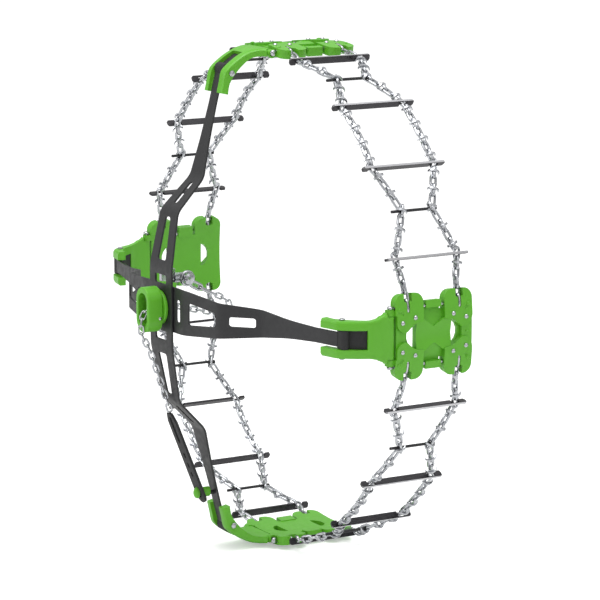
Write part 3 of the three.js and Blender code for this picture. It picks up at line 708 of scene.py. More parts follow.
def pad_shape():
    """The rubber pad that fills a fork's slot behind the arm's end, laid along the fork."""
    rows = [row for row in fork_rows()[3:] if -121 < row[0][1] < -98.9]
    bm = bmesh.new()
    bmesh.ops.create_grid(bm, x_segments=len(rows) - 1, y_segments=1, size=1)
    row = bm.verts.layers.int.new("row")
    for vert in bm.verts:
        vert[row] = round((vert.co.x + 1) / 2 * (len(rows) - 1))
    grown = bmesh.ops.extrude_face_region(bm, geom=bm.faces[:])["geom"]
    upper = {item for item in grown if isinstance(item, bmesh.types.BMVert)}
    for vert in bm.verts:
        outer, inner = (Vector(point[:2]) * MM for point in rows[vert[row]][:2])
        spot = outer.lerp(inner, 0.4 if vert in upper else 0.9)
        vert.co = (spot.x, spot.y, math.copysign(FORK_SLOT - 0.3 * MM, vert.co.y))
    bmesh.ops.recalc_face_normals(bm, faces=bm.faces)
    soften(bm, 0.7 * MM, 50)
    return bm


class SNOWCHAIN_OT_forks(bpy.types.Operator):
    """Adds the four forks with their hinge pins, strap pins and rubber pads"""

    bl_idname = "snowchain.forks"
    bl_label = "Forks and pins"

    def execute(self, context):
        sizes = context.scene.snowchain_sizes
        hinge_profile = rivet_profile(4.4 * MM, 2.8 * MM, PLATE_KNUCKLE + GAP, 4.9 * MM)
        hinge = lathe(hinge_profile, (0, 0, 1), (HINGE_R, HINGE_Y, 0))
        strap_profile = rivet_profile(4.2 * MM, 3 * MM, FORK_NECK + GAP, 2.6 * MM)
        strap = lathe(strap_profile, (0, 0, 1), (STRAP_R, STRAP_Y, 0))
        fork = fork_shape(sizes.moulded_edge, sizes.fork_chamfer)
        finish_at_stations(fork, "strap_fork_*", "*_fork", GREEN, ["fork_*"])
        finish_at_stations(hinge, "hinge_rivet_*", "tread_ring", ZINC, ["hinge_pin_*"])
        finish_at_stations(strap, "strap_rivet_*", "*_fork", ZINC, ["strap_pin_*"])
        finish_at_stations(pad_shape(), "fork_pad_*", "*_fork", RUBBER)
        return {"FINISHED"}


# Chains ---------------------------------------------------------------------------------------


def link_shape(pitch, width, wire, turn_steps=4, sides=6):
    """One oval link in the XY plane, its wire carried round both ends."""
    radius = (width - wire) / 2
    reach = (pitch + wire) / 2 - radius
    bm = bmesh.new()
    bmesh.ops.create_circle(bm, segments=sides, radius=wire / 2)
    bmesh.ops.rotate(bm, verts=bm.verts, cent=(0, 0, 0), matrix=Matrix.Rotation(math.pi / 2, 3, "Y"))
    bmesh.ops.translate(bm, verts=bm.verts, vec=(-reach, -radius, 0))
    ring = bm.verts[:] + bm.edges[:]
    for side in (1, -1):
        edges = [item for item in ring if isinstance(item, bmesh.types.BMEdge)]
        ring = bmesh.ops.extrude_edge_only(bm, edges=edges)["geom"]
        moved = [item for item in ring if isinstance(item, bmesh.types.BMVert)]
        bmesh.ops.translate(bm, verts=moved, vec=(2 * reach * side, 0, 0))
        edge_ring = [item for item in ring if isinstance(item, bmesh.types.BMEdge)
                     and all(vert in moved for vert in item.verts)]
        spun = bmesh.ops.spin(bm, geom=moved + edge_ring, cent=(reach * side, 0, 0), axis=(0, 0, 1),
                              angle=math.pi, steps=turn_steps)
        ring = spun["geom_last"]
    bmesh.ops.remove_doubles(bm, verts=bm.verts, dist=1e-6)
    bmesh.ops.recalc_face_normals(bm, faces=bm.faces)
    return bm


def length_of(points):
    """Length of a line of points."""
    return sum((b - a).length for a, b in zip(points, points[1:]))


def stop_on(points, distance):
    """The place and direction at a distance along a line of points."""
    left = distance
    for a, b in zip(points, points[1:]):
        length = (b - a).length
        if left <= length or b is points[-1]:
            return a.lerp(b, left / length), (b - a).normalized()
        left -= length


def stop_matrix(place, along, up):
    """Puts X along a direction and Z as near to up as it can be, at a place."""
    side = up.cross(along).normalized()
    top = along.cross(side)
    return Matrix.Translation(place) @ Matrix((along, side, top)).transposed().to_4x4()


def tread_line(side):
    """A tread chain's centre line in its station's frame, and its length at each crossbar."""
    points, bar_lengths = [], []
    first, last = CHAIN_ROUTE[0][0], CHAIN_ROUTE[-1][0]
    for (angle, y), (next_angle, next_y) in zip(CHAIN_ROUTE, CHAIN_ROUTE[1:] + CHAIN_ROUTE[-1:]):
        if angle in BAR_ANGLES:
            bar_lengths.append(len(points))
        parts = max(1, round((next_angle - angle) / 1.5))
        for k in range(parts):
            degrees = angle + (next_angle - angle) * k / parts
            turn = math.radians(degrees)
            near = max(0, 1 - min(degrees - first, last - degrees) / CHAIN_RISE)
            radius = CHAIN_R + (ANCHOR_R - CHAIN_R) * near
            across = side * (y + (next_y - y) * k / parts) * MM
            points.append(Vector((radius * math.cos(turn), across, radius * math.sin(turn))))
    return points, [length_of(points[:index + 1]) for index in bar_lengths]


def run_stops(side, pitch):
    """The links' stops along a tread chain, set so that a link lies flat under every crossbar.

    Links with an even number stand on edge, and so do the first and the last one.
    """
    line, bar_lengths = tread_line(side)
    total = length_of(line)
    count = round(total / pitch) | 1
    anchors = [(-0.5, 0.0)]
    for length in bar_lengths:
        nearest = 2 * round((length / total * count - 1.5) / 2) + 1
        anchors.append((nearest, length))
    anchors.append((count - 0.5, total))
    stops = []
    for i in range(count):
        low, high = next((a, b) for a, b in zip(anchors, anchors[1:]) if a[0] <= i <= b[0])
        distance = low[1] + (high[1] - low[1]) * (i - low[0]) / (high[0] - low[0])
        place, along = stop_on(line, distance)
        stops.append(stop_matrix(place, along, Vector((place.x, 0, place.z)).normalized()))
    return stops


def chain_shape(stops, link, turn=0.0):
    """Links at all stops, every second one turned on its edge."""
    whole = bmesh.new()
    for i, stop in enumerate(stops):
        twist = turn + (0.0 if i % 2 else math.pi / 2)
        add_copy(whole, link, stop @ Matrix.Rotation(twist, 4, "X"))
    return whole


def clip_shape(half):
    """A gripping clip: a crescent of spring steel that stands across the chain."""
    outer = [(half * math.cos(a), half * 0.92 * math.sin(a) - 0.6 * MM)
             for a in span(0.02, math.pi - 0.02, 9)]
    inner = [((half - 1.3 * MM) * math.cos(a), (half * 0.92 - 3 * MM) * math.sin(a) - 0.9 * MM)
             for a in span(math.pi - 0.02, 0.02, 9)]
    bm = prism(outer + inner, -1.7 * MM, 1.7 * MM)
    soften(bm, 0.5 * MM, 50, 1)
    bmesh.ops.rotate(bm, verts=bm.verts, cent=(0, 0, 0), matrix=Matrix(((0, 0, 1), (1, 0, 0), (0, 1, 0))))
    return bm


class SNOWCHAIN_OT_tread_chains(bpy.types.Operator):
    """Adds the tread chains' links, their gripping clips, tie rods and the pins that hold their ends"""

    bl_idname = "snowchain.tread_chains"
    bl_label = "Tread chains"

    def execute(self, context):
        sizes = context.scene.snowchain_sizes
        link = link_shape(sizes.link_pitch, sizes.link_width, sizes.link_wire)
        clip = clip_shape(sizes.clip_half)
        for row, side in (("outer", -1), ("inner", 1)):
            stops = run_stops(side, sizes.link_pitch)
            clips = bmesh.new()
            for stop in stops[4:-4:2]:
                add_copy(clips, clip, stop)
            finish_at_stations(chain_shape(stops, link), f"links_{row}_*", "tread_ring", CHAIN,
                               [f"tread_chain_{row}_*"], 60, alternate=True)
            finish_at_stations(clips, f"clips_{row}_*", "tread_ring", CHAIN, alternate=True)
        link.free()
        clip.free()

        ties = bmesh.new()
        middle, half = (TIE_FROM + TIE_TO) / 2, (TIE_TO - TIE_FROM) / 2
        profile = [(-half, 0), (0.5 * MM - half, 1.7 * MM), (1 * MM - half, 2.1 * MM), (half - MM, 2.1 * MM),
                   (half - 0.5 * MM, 1.7 * MM), (half, 0)]
        tie = lathe(profile, (0, 1, 0), (CHAIN_R, middle, 0), 12)
        for angle in TIE_ANGLES:
            add_copy(ties, tie, station_turn(angle))
        tie.free()
        finish_at_stations(ties, "tie_rods_*", "tread_ring", DRAWN, alternate=True)

        for sign, end in ((1, "lead"), (-1, "trail")):
            bent = ANCHOR_T * sign / BEND_R
            place = (ANCHOR_R * math.cos(bent), 0, ANCHOR_R * math.sin(bent))
            pin = rod((0, 1, 0), place, ANCHOR_PIN_R, ANCHOR_HALF, 16)
            soften(pin, 0.6 * MM, 50)
            finish_at_stations(pin, f"cross_pin_*_{end}", "tread_ring", ZINC, [f"anchor_pin_*_{end}"])
        return {"FINISHED"}


def bar_shape(edge):
    """A crossbar on its edge, notched underneath for the two chains."""
    inner, outer, half = BAR_IN_R, BAR_OUT_R, BAR_HALF
    points = [(-half, inner + 3 * MM), (-half, outer - 2 * MM), (2 * MM - half, outer),
              (half - 2 * MM, outer), (half, outer - 2 * MM), (half, inner + 3 * MM), (half - 2 * MM, inner)]
    for y in (NOTCH_Y, -NOTCH_Y):
        points += [(y + NOTCH_HALF, inner), (y + NOTCH_HALF - 1.5 * MM, NOTCH_R),
                   (y - NOTCH_HALF + 1.5 * MM, NOTCH_R), (y - NOTCH_HALF, inner)]
    points.append((2 * MM - half, inner))
    bm = prism(points, -BAR_THICK / 2, BAR_THICK / 2)
    soften(bm, edge, 50)
    bmesh.ops.rotate(bm, verts=bm.verts, cent=(0, 0, 0), matrix=Matrix(((0, 1, 0), (1, 0, 0), (0, 0, -1))))
    return bm


class SNOWCHAIN_OT_crossbars(bpy.types.Operator):
    """Adds the sixteen crossbars"""

    bl_idname = "snowchain.crossbars"
    bl_label = "Crossbars"

    def execute(self, context):
        for number, angle in enumerate(BAR_ANGLES, 1):
            bar = bmesh.new()
            straight = bar_shape(context.scene.snowchain_sizes.steel_edge)
            add_copy(bar, straight, station_turn(angle))
            straight.free()
            finish_at_stations(bar, f"grip_bar_*_{number}", "tread_ring", STRIP,
                               [f"crossbar_*_{number}"], alternate=True)
        return {"FINISHED"}


# Arms -----------------------------------------------------------------------------------------

# An arm's outline from its middle to its end, as (distance, half width) in mm.
ARM_PLAN = ((0, 32), (57, 32), (134.5, 24.6), (178.6, 19.3), (232, 12.4), (280, 10), (322, 10))

# The windows on one side of an arm, in mm: near distance and half width, far distance and half width,
# corner radius.
LEVEL_WINDOWS = ((70, 15.5, 128, 9.5, 4), (38.8, 16, 50, 16, 4), (145, 6.5, 173, 6.5, 3))
UPRIGHT_WINDOWS = ((66, 12, 126, 7, 4), (144, 4.5, 171, 4, 3), (33.5, 16, 46, 16, 3))


def arm_bends(face_y):
    """An arm's side line from its middle to its end, as (distance, y)."""
    deeper = face_y - VERTICAL_FACE_Y
    return [(0, face_y), (57 * MM, face_y), (134.5 * MM, -207.8 * MM + deeper),
            (178.6 * MM, -164.6 * MM + deeper / 2), (322 * MM, -128.1 * MM)]


def side_line(bends, x):
    """Depth and slope of an arm's middle surface at a distance, its bends rounded."""
    blend = 7 * MM
    x = min(abs(x), bends[-1][0])
    slopes = [(b[1] - a[1]) / (b[0] - a[0]) for a, b in zip(bends, bends[1:])]
    leg = next((i for i in range(len(slopes)) if x <= bends[i + 1][0]), len(slopes) - 1)
    depth, slope = bends[leg][1] + slopes[leg] * (x - bends[leg][0]), slopes[leg]
    for i in range(1, len(bends) - 1):
        away = x - bends[i][0]
        if abs(away) < blend:
            turn = slopes[i] - slopes[i - 1]
            depth += turn * (blend - abs(away)) ** 2 / (4 * blend)
            slope = slopes[i - 1] + turn * (away + blend) / (2 * blend)
    return depth, slope


def arm_shape(face_y, windows, edge):
    """A cut and bent arm along X, its flat blank bent at the end."""
    right = [(x * MM, w * MM) for x, w in ARM_PLAN]
    left = [(-x, w) for x, w in reversed(right[1:])]
    upper = left + right
    points = upper + [(x, -w) for x, w in reversed(upper)]
    bends = {i: 14 * MM for i, (x, w) in enumerate(points) if 30 * MM < abs(x) < 240 * MM}
    blank = prism(points, -ARM_THICK / 2, ARM_THICK / 2, bends, 4)
    cuts = [rod((0, 0, 1), (0, 0, 0), 9.6 * MM, 5 * MM, 32)]
    for sign in (1, -1):
        for near, near_half, far, far_half, radius in windows:
            window = ((near, -near_half), (far, -far_half), (far, far_half), (near, near_half))
            outline = [(x * sign * MM, z * MM) for x, z in window]
            cuts.append(prism(outline, -5 * MM, 5 * MM, {i: radius * MM for i in range(4)}, 4))
    bm = combine(blank, cuts, "DIFFERENCE")
    soften(bm, edge, 50)
    line = arm_bends(face_y)
    for bend, _ in line[1:-1]:
        for sign in (1, -1):
            slice_at(bm, (1, 0, 0), [sign * x for x in span(bend - 7 * MM, bend + 7 * MM, 7)])
    for vert in bm.verts:
        x, across, out = vert.co
        depth, slope = side_line(line, x)
        slope = math.copysign(slope, x) if x else 0.0
        normal = Vector((-slope, 1, 0)).normalized() * out
        vert.co = Vector((x, depth, across)) + normal
    bmesh.ops.recalc_face_normals(bm, faces=bm.faces)
    return bm


def stadium(start, end, y, radius, steps=10):
    """A slot outline with round ends between two distances along X."""
    right = [(end + radius * math.sin(a), y - radius * math.cos(a)) for a in span(0, math.pi, steps)]
    left = [(start - radius * math.sin(a), y + radius * math.cos(a)) for a in span(0, math.pi, steps)]
    return right + left


def barrel_shape():
    """The block round a strap pin at an arm's end, with its long eye."""
    block = prism(stadium(STRAP_R, STRAP_R + EYE_TRAVEL, STRAP_Y, EYE_R), -EYE_HALF, EYE_HALF)
    eye = prism(stadium(STRAP_R, STRAP_R + EYE_TRAVEL, STRAP_Y, EYE_SLOT), -2 * EYE_HALF, 2 * EYE_HALF)
    bm = combine(block, [eye], "DIFFERENCE")
    soften(bm, 1.2 * MM, 60)
    return bm


def button_shape():
    """The tensioner peg's green button with the collar behind the strip, both taller than wide."""
    button = lathe([(-173 * MM, 0), (-172.6 * MM, 2.5 * MM), (-171 * MM, 4.6 * MM), (-168.6 * MM, 5.6 * MM),
                    (-166.2 * MM, 5.6 * MM), (-165.4 * MM, 4.8 * MM), (-165.4 * MM, 0)],
                   (0, 1, 0), (0, 0, 0), 24)
    collar = lathe([(-158.6 * MM, 0), (-158.6 * MM, 4 * MM), (-157.6 * MM, 4.8 * MM), (-149 * MM, 4.8 * MM),
                    (-148 * MM, 4.2 * MM), (-148 * MM, 0)], (0, 1, 0), (0, 0, 0), 24)
    add_copy(button, collar, Matrix())
    collar.free()
    for vert in button.verts:
        vert.co.z = vert.co.z * 1.5 - 275 * MM
    return button


def ring_post_shape():
    """The lug behind the upright arm: a knurled barrel with a headed post that carries the ring."""
    x, y, z = RING_CENTRE
    lug = box((-8.6 * MM, VERTICAL_FACE_Y + MM, z - 3 * MM), (-1.6 * MM, y - 13 * MM, z + 13.8 * MM))
    soften(lug, 1 * MM, 50)
    ribs = [(6.9 if i % 2 else 6.4, math.radians(i * 7.5)) for i in range(48)]
    knurled = [(radius * MM * math.cos(a), radius * MM * math.sin(a)) for radius, a in ribs]
    barrel = prism(knurled, -8 * MM, 8 * MM)
    bmesh.ops.rotate(barrel, verts=barrel.verts, cent=(0, 0, 0), matrix=Matrix.Rotation(math.pi / 2, 3, "X"))
    bmesh.ops.translate(barrel, verts=barrel.verts, vec=(-5.2 * MM, y - 6 * MM, z))
    post = lathe([(-2 * MM, 0), (-2 * MM, 3.2 * MM), (14 * MM, 3.2 * MM), (14 * MM, 7 * MM),
                  (14.6 * MM, 7.6 * MM), (15.8 * MM, 7.4 * MM), (16.8 * MM, 5.4 * MM), (17 * MM, 0)],
                 (1, 0, 0), (0, y, z))
    return combine(lug, [barrel, post], "UNION")


class SNOWCHAIN_OT_arms(bpy.types.Operator):
    """Adds the two spring steel arms, the blocks at their ends and what is riveted to the upright one"""

    bl_idname = "snowchain.arms"
    bl_label = "Arms"

    def execute(self, context):
        edge = context.scene.snowchain_sizes.steel_edge
        flat = arm_shape(HORIZONTAL_FACE_Y, LEVEL_WINDOWS, edge)
        finish_piece("cross_arm_level", flat, "cross", BLACK, ["horizontal_arm"])

        tall = arm_shape(VERTICAL_FACE_Y, UPRIGHT_WINDOWS, edge)
        upright = bmesh.new()
        add_copy(upright, tall, station_turn(90))
        tall.free()
        finish_piece("cross_arm_upright", upright, "cross", BLACK, ["vertical_arm"])
        finish_at_stations(barrel_shape(), "arm_end_*", "cross", ARM_END)

        peg = rod((0, 1, 0), (0, -152 * MM, -277 * MM), 3 * MM, 14 * MM)
        finish_piece("tensioner_peg", peg, "cross", BLACK)
        finish_piece("peg_button", button_shape(), "cross", GREEN)
        finish_piece("ring_post", ring_post_shape(), "cross", ZINC)
        return {"FINISHED"}


# Ratchet --------------------------------------------------------------------------------------


def to_front(bm):
    """Turns a shape modelled in XY to face along the axle: its height becomes Y."""
    for vert in bm.verts:
        vert.co = Vector((vert.co.x, vert.co.z, vert.co.y))
    bmesh.ops.recalc_face_normals(bm, faces=bm.faces)
    return bm


def to_side(bm):
    """Turns a shape modelled as (y, z) in XY to lie across: its height becomes X."""
    for vert in bm.verts:
        vert.co = Vector((vert.co.z, vert.co.x, vert.co.y))
    bmesh.ops.recalc_face_normals(bm, faces=bm.faces)
    return bm


def upright_block(half_x, half_z, low, high, radius):
    """An upright block with round corners, between two heights."""
    points = [(half_x, half_z), (-half_x, half_z), (-half_x, -half_z), (half_x, -half_z)]
    return prism(points, low, high, {i: radius for i in range(4)}, 12)


def housing_shape():
    """The ratchet's box: a thick oval tube, its mouth open to the front."""
    bm = upright_block(19.3 * MM, 32 * MM, -252.5 * MM, -229.7 * MM, 18.8 * MM)
    soften(bm, 2 * MM, 60, 4)
    mouth = upright_block(12.5 * MM, 23.5 * MM, -254 * MM, -228 * MM, 12 * MM)
    bm = combine(bm, [mouth], "DIFFERENCE")
    soften(bm, 1.1 * MM, 60, 3)
    bmesh.ops.translate(bm, verts=bm.verts, vec=(0, -2 * MM, 0))
    return to_front(bm)


def base_shape():
    """The round flange behind the box with the guide that reaches through both arms."""
    bm = rod((0, 0, 1), (0, 0, -226.6 * MM), 24.5 * MM, 2.7 * MM, 48)
    soften(bm, 1.6 * MM, 60, 3)
    guide = rod((0, 0, 1), (0, 0, -218 * MM), 9 * MM, 6 * MM, 32)
    bm = combine(bm, [guide], "UNION")
    bm = combine(bm, [rod((0, 0, 1), (0, 0, -220 * MM), 5.6 * MM, 20 * MM, 24)], "DIFFERENCE")
    return to_front(bm)


def nut_shape():
    """The six-sided nut that clamps the arms against the base."""
    bm = rod((0, 0, 1), (0, 0, -214.5 * MM), 17 * MM, 2 * MM, 6)
    soften(bm, 0.8 * MM, 50)
    return to_front(combine(bm, [rod((0, 0, 1), (0, 0, -214.5 * MM), 9.6 * MM, 9 * MM, 32)], "DIFFERENCE"))


def wheel_shape():
    """The chain wheel: eight pointed teeth, in one piece with its axle."""
    teeth = []
    for i in range(8):
        for radius, turn in ((8, 0), (7.4, 0.5), (5.6, 0.62)):
            angle = (i + turn) / 8 * 2 * math.pi
            teeth.append(((WHEEL_Y + radius * math.cos(angle)) * MM,
                          (WHEEL_Z + radius * math.sin(angle)) * MM))
    bm = prism(teeth, -4 * MM, 4 * MM)
    soften(bm, 0.4 * MM, 60)
    axle = rod((0, 0, 1), (WHEEL_Y * MM, WHEEL_Z * MM, 0), 2.4 * MM, 18 * MM, 16)
    return to_side(combine(bm, [axle], "UNION"))


def pawl_shape():
    """The pawl under the chain: a nose towards the wheel and a tail for the finger."""
    outline = ((-229.9, -12), (-230.6, -16.2), (-234.5, -17.6), (-245, -17.2), (-246.5, -15),
               (-239, -11.5), (-237.5, -8), (-237.5, -5.2), (-235.5, -5), (-231, -8.8))
    bm = prism([(y * MM, z * MM) for y, z in outline], -4 * MM, 4 * MM)
    bm = combine(bm, [rod((0, 0, 1), (PAWL_Y * MM, PAWL_Z * MM, 0), 2.6 * MM, 9 * MM, 16)], "DIFFERENCE")
    soften(bm, 0.4 * MM, 50)
    return to_side(bm)


class SNOWCHAIN_OT_ratchet(bpy.types.Operator):
    """Adds the ratchet: box, base, nut, chain wheel, pawl and pin"""

    bl_idname = "snowchain.ratchet"
    bl_label = "Ratchet"

    def execute(self, context):
        finish_piece("ratchet_box", housing_shape(), "cross", GREEN,
                     ["ratchet_housing"])
        finish_piece("ratchet_flange", base_shape(), "cross", GREEN,
                     ["ratchet_base"])
        finish_piece("flange_nut", nut_shape(), "cross", BLACK, ["base_nut"])
        finish_piece("chain_sprocket", wheel_shape(), "chain_wheel", ZINC,
                     ["ratchet_wheel"])
        finish_piece("pawl_lever_steel", pawl_shape(), "pawl_lever", ZINC, ["pawl"])
        half = [(0, 2 * MM), (18.6 * MM, 2 * MM), (18.7 * MM, 2.6 * MM), (19.3 * MM, 2.5 * MM),
                (20 * MM, 1.4 * MM), (20.1 * MM, 0)]
        pin = lathe([(-a, r) for a, r in reversed(half)] + half[1:], (1, 0, 0), (0, PAWL_Y * MM,
                                                                                 PAWL_Z * MM), 16)
        finish_piece("pawl_rivet", pin, "cross", ZINC, ["pawl_pin"])
        return {"FINISHED"}


# Draw chain, ring and tensioner -----------------------------------------------------------------


def smooth_line(route):
    """A smooth line of points through a route given in mm."""
    points = [Vector(point) * MM for point in route]
    line = []
    for i in range(len(points) - 1):
        before, after = points[max(i - 1, 0)], points[min(i + 2, len(points) - 1)]
        here, there = points[i], points[i + 1]
        handles = here + (there - before) / 6, there - (after - here) / 6
        line += interpolate_bezier(here, *handles, there, 9)[:-1]
    return line + [points[-1]]


def loose_links(route, sizes, turn, lead=0):
    """Links along a smooth route, as one mesh, of which the first few may be large ones."""
    line = smooth_line(route)
    up, big_pitch = Vector((1, 0, 0)), 19 * MM
    whole = bmesh.new()
    big = link_shape(big_pitch, 12 * MM, 4 * MM, 6, 8)
    for i in range(lead):
        place, along = stop_on(line, (i + 0.5) * big_pitch - 5 * MM)
        twist = Matrix.Rotation(math.radians(15 + 90 * i), 4, "X")
        add_copy(whole, big, stop_matrix(place, along, up) @ twist)
    big.free()
    start = max(0, lead * big_pitch - 5 * MM)
    length = length_of(line) - start
    count = round(length / sizes.loose_pitch)
    stops = [stop_matrix(*stop_on(line, start + length * (i + 0.5) / count), up) for i in range(count)]
    link = link_shape(sizes.loose_pitch, sizes.loose_width, sizes.loose_wire, 6, 8)
    small = chain_shape(stops, link, turn)
    add_copy(whole, small, Matrix())
    link.free()
    small.free()
    return whole


def ring_shape():
    """The ring on the lug's post, round an axis along X."""
    ring = bmesh.new()
    bmesh.ops.create_circle(ring, segments=14, radius=RING_WIRE)
    bmesh.ops.translate(ring, verts=ring.verts, vec=(RING_R, 0, 0))
    bmesh.ops.rotate(ring, verts=ring.verts, cent=(0, 0, 0), matrix=Matrix.Rotation(math.pi / 2, 3, "X"))
    bmesh.ops.spin(ring, geom=ring.verts[:] + ring.edges[:], cent=(0, 0, 0), axis=(0, 0, 1),
                   angle=2 * math.pi, steps=40, use_merge=True)
    turn = Matrix.Translation(RING_CENTRE) @ Matrix.Rotation(math.pi / 2, 4, "Y")
    bmesh.ops.transform(ring, matrix=turn, verts=ring.verts)
    return ring


def band_shape():
    """The rubber strip: a long slot, three small holes and a buttonhole."""
    outline = [(BAND_HALF * math.cos(a), BAND_HALF - BAND_LENGTH + BAND_HALF * math.sin(a))
               for a in span(math.pi, 2 * math.pi, 13)]
    outline += [(BAND_HALF, -14 * MM), (6 * MM, -0.5 * MM), (-6 * MM, -0.5 * MM), (-BAND_HALF, -14 * MM)]
    bm = prism(outline, -BAND_THICK / 2, BAND_THICK / 2)
    cuts = []
    for start, end, radius in BAND_SLOTS:
        hole = prism(stadium(start * MM, end * MM, 0, radius * MM), -5 * MM, 5 * MM)
        bmesh.ops.rotate(hole, verts=hole.verts, cent=(0, 0, 0), matrix=Matrix.Rotation(math.pi / 2, 3, "Z"))
        cuts.append(hole)
    bm = combine(bm, cuts, "DIFFERENCE")
    soften(bm, 0.7 * MM, 50)
    lean = math.pi / 2 + math.atan2(BAND_END.y - BAND_TOP.y, BAND_TOP.z - BAND_END.z)
    laid = Matrix.Translation(BAND_TOP) @ Matrix.Rotation(lean, 4, "X")
    bmesh.ops.transform(bm, matrix=laid, verts=bm.verts)
    return bm


class SNOWCHAIN_OT_draw_chain(bpy.types.Operator):
    """Adds the ratchet's chain, its anchor ring and the rubber tensioner"""

    bl_idname = "snowchain.draw_chain"
    bl_label = "Draw chain and tensioner"

    def execute(self, context):
        sizes = context.scene.snowchain_sizes
        loose = loose_links(LOOSE_ROUTE, sizes, math.radians(25))
        finish_piece("loose_links", loose, "cross", CHAIN, ["loose_chain"], 60)
        drawn = loose_links(DRAW_ROUTE, sizes, math.radians(10), lead=2)
        finish_piece("drawn_links", drawn, "cross", CHAIN, ["draw_chain"], 60)
        finish_piece("swivel_ring_chrome", ring_shape(), "swivel_ring", ZINC,
                     ["anchor_ring"], 60)
        finish_piece("tensioner_strip", band_shape(), "cross", RUBBER, ["tensioner_band"])
        return {"FINISHED"}


# Materials and stage ----------------------------------------------------------------------------


class SNOWCHAIN_OT_finishes(bpy.types.Operator):
    """Makes the materials of the set"""

    bl_idname = "snowchain.finishes"
    bl_label = "Materials"

    def execute(self, context):
        colours = context.scene.snowchain_colours
        moulded_polypropylene(tuple(colours.plate))
        powder_coated_steel(tuple(colours.arm))
        zinc_plated_steel(tuple(colours.zinc))
        rolled_strip_steel(tuple(colours.strip))
        dark_drawn_steel()
        moulded_rubber(tuple(colours.rubber))
        return {"FINISHED"}


CAMERA_TURN, CAMERA_HEIGHT_ANGLE = math.radians(59.73), math.radians(10.71)
CAMERA_PLACE = Vector((3.6098, -2.1051, 0.7783))
CAMERA_LENS = 177.9
FLOOR_R = 45
# The softboxes: name, place and size in metres, and power in watts.
SOFTBOXES = (
    ("overhead_box", (0.3, -0.4, 3.2), 2.4, 60),
    ("front_box", (-1.4, -3.4, 1.6), 1.6, 24),
    ("right_box", (3.2, 0.8, 1.4), 1.4, 5),
)


def add_camera(scene):
    """A long lens to the right of the wheel and a little above it."""
    back = Vector((math.sin(CAMERA_TURN) * math.cos(CAMERA_HEIGHT_ANGLE),
                   -math.cos(CAMERA_TURN) * math.cos(CAMERA_HEIGHT_ANGLE), math.sin(CAMERA_HEIGHT_ANGLE)))
    right = Vector((math.cos(CAMERA_TURN), math.sin(CAMERA_TURN), 0))
    up = back.cross(right)
    camera = bpy.data.objects.new("camera", bpy.data.cameras.new("camera"))
    camera.data.lens = CAMERA_LENS
    camera.data.sensor_width = 36
    camera.data.clip_end = 200
    turn = Matrix((right, up, back)).transposed()
    camera.matrix_world = Matrix.Translation(CAMERA_PLACE) @ turn.to_4x4()
    scene.collection.objects.link(camera)
    scene.camera = camera


def add_softbox(scene, name, place, size, power):
    """A square area light that faces the middle of the set."""
    light = bpy.data.lights.new(name, "AREA")
    light.shape = "SQUARE"
    light.size = size
    light.energy = power
    lamp = bpy.data.objects.new(name, light)
    lamp.location = place
    lamp.rotation_euler = (-Vector(place)).to_track_quat("-Z", "Y").to_euler()
    scene.collection.objects.link(lamp)


def add_sky(scene):
    """An even studio sky, a little darker towards and below the horizon."""
    world = bpy.data.worlds.new("studio_sky")
    scene.world = world
    world.use_nodes = True
    tree = world.node_tree
    direction = add_node(tree, "ShaderNodeTexCoord").outputs["Generated"]
    height = add_node(tree, "ShaderNodeSeparateXYZ", None, {"Vector": direction}).outputs["Z"]
    level = spread(tree, height, -0.1, 0.8, 0.2, 0.95)
    tree.links.new(level, tree.nodes["Background"].inputs["Strength"])
    tree.nodes["Background"].inputs["Color"].default_value = linear("#FFFFFF")


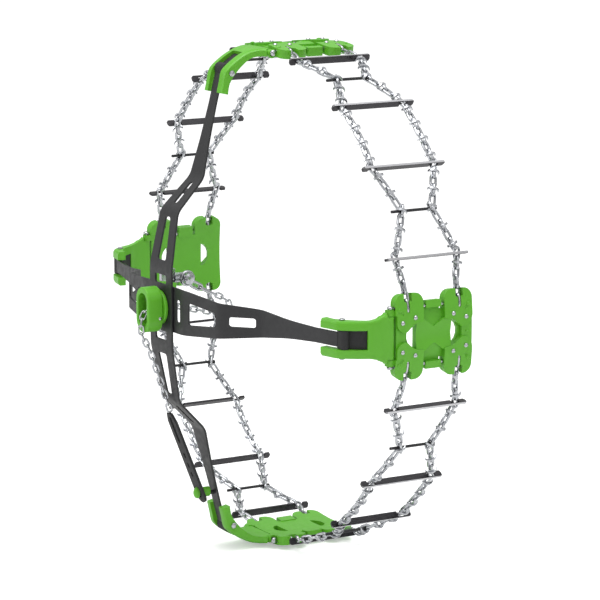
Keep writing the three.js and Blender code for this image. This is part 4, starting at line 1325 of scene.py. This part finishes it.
def add_floor(scene, colour):
    """A wide plain floor that the bottom plate's studs stand on."""
    material = bpy.data.materials.new("studio_floor")
    material.use_nodes = True
    shader = material.node_tree.nodes["Principled BSDF"]
    shader.inputs["Base Color"].default_value = colour
    shader.inputs["Roughness"].default_value = 0.7
    tree = material.node_tree
    seen = add_node(tree, "ShaderNodeLightPath").outputs["Is Camera Ray"]
    tree.links.new(spread(tree, seen, 0, 1, 0, 0.45), shader.inputs["Emission Strength"])
    shader.inputs["Emission Color"].default_value = colour
    bm = bmesh.new()
    bmesh.ops.create_circle(bm, cap_ends=True, segments=64, radius=FLOOR_R)
    bmesh.ops.translate(bm, verts=bm.verts, vec=(0, 0, -PLATE_TOP_R - 2.8 * MM))
    mesh = bpy.data.meshes.new("floor")
    bm.to_mesh(mesh)
    bm.free()
    mesh.materials.append(material)
    floor = bpy.data.objects.new("floor", mesh)
    scene.collection.objects.link(floor)


class SNOWCHAIN_OT_stage(bpy.types.Operator):
    """Adds the floor, the sky, the softboxes and the camera"""

    bl_idname = "snowchain.stage"
    bl_label = "Stage"

    def execute(self, context):
        scene = context.scene
        add_floor(scene, tuple(scene.snowchain_colours.floor))
        add_sky(scene)
        for softbox in SOFTBOXES:
            add_softbox(scene, *softbox)
        add_camera(scene)
        scene.view_settings.view_transform = "Standard"
        return {"FINISHED"}


# Add-on ------------------------------------------------------------------------------------------

OPERATORS = (
    SNOWCHAIN_OT_finishes, SNOWCHAIN_OT_stage, SNOWCHAIN_OT_plates, SNOWCHAIN_OT_forks,
    SNOWCHAIN_OT_tread_chains, SNOWCHAIN_OT_crossbars, SNOWCHAIN_OT_arms, SNOWCHAIN_OT_ratchet,
    SNOWCHAIN_OT_draw_chain,
)


class SNOWCHAIN_PT_panel(bpy.types.Panel):
    """Lists the set's pieces, sizes and colours"""

    bl_idname = "SNOWCHAIN_PT_panel"
    bl_label = "Snow chain"
    bl_space_type = "VIEW_3D"
    bl_region_type = "UI"
    bl_category = "Snow chain"

    def draw(self, context):
        layout = self.layout
        for group in (context.scene.snowchain_sizes, context.scene.snowchain_colours):
            for name in group.bl_rna.properties.keys():
                if name not in ("rna_type", "name"):
                    layout.prop(group, name)
        for operator in OPERATORS:
            layout.operator(operator.bl_idname)


CLASSES = (SnowChainSizes, SnowChainColours, *OPERATORS, SNOWCHAIN_PT_panel)


def register():
    for cls in CLASSES:
        bpy.utils.register_class(cls)
    bpy.types.Scene.snowchain_sizes = PointerProperty(type=SnowChainSizes)
    bpy.types.Scene.snowchain_colours = PointerProperty(type=SnowChainColours)


def unregister():
    del bpy.types.Scene.snowchain_colours
    del bpy.types.Scene.snowchain_sizes
    for cls in reversed(CLASSES):
        bpy.utils.unregister_class(cls)


def main():
    """Builds the whole set."""
    register()
    for operator in OPERATORS:
        group, name = operator.bl_idname.split(".")
        getattr(getattr(bpy.ops, group), name)()


if __name__ == "__main__":
    main()
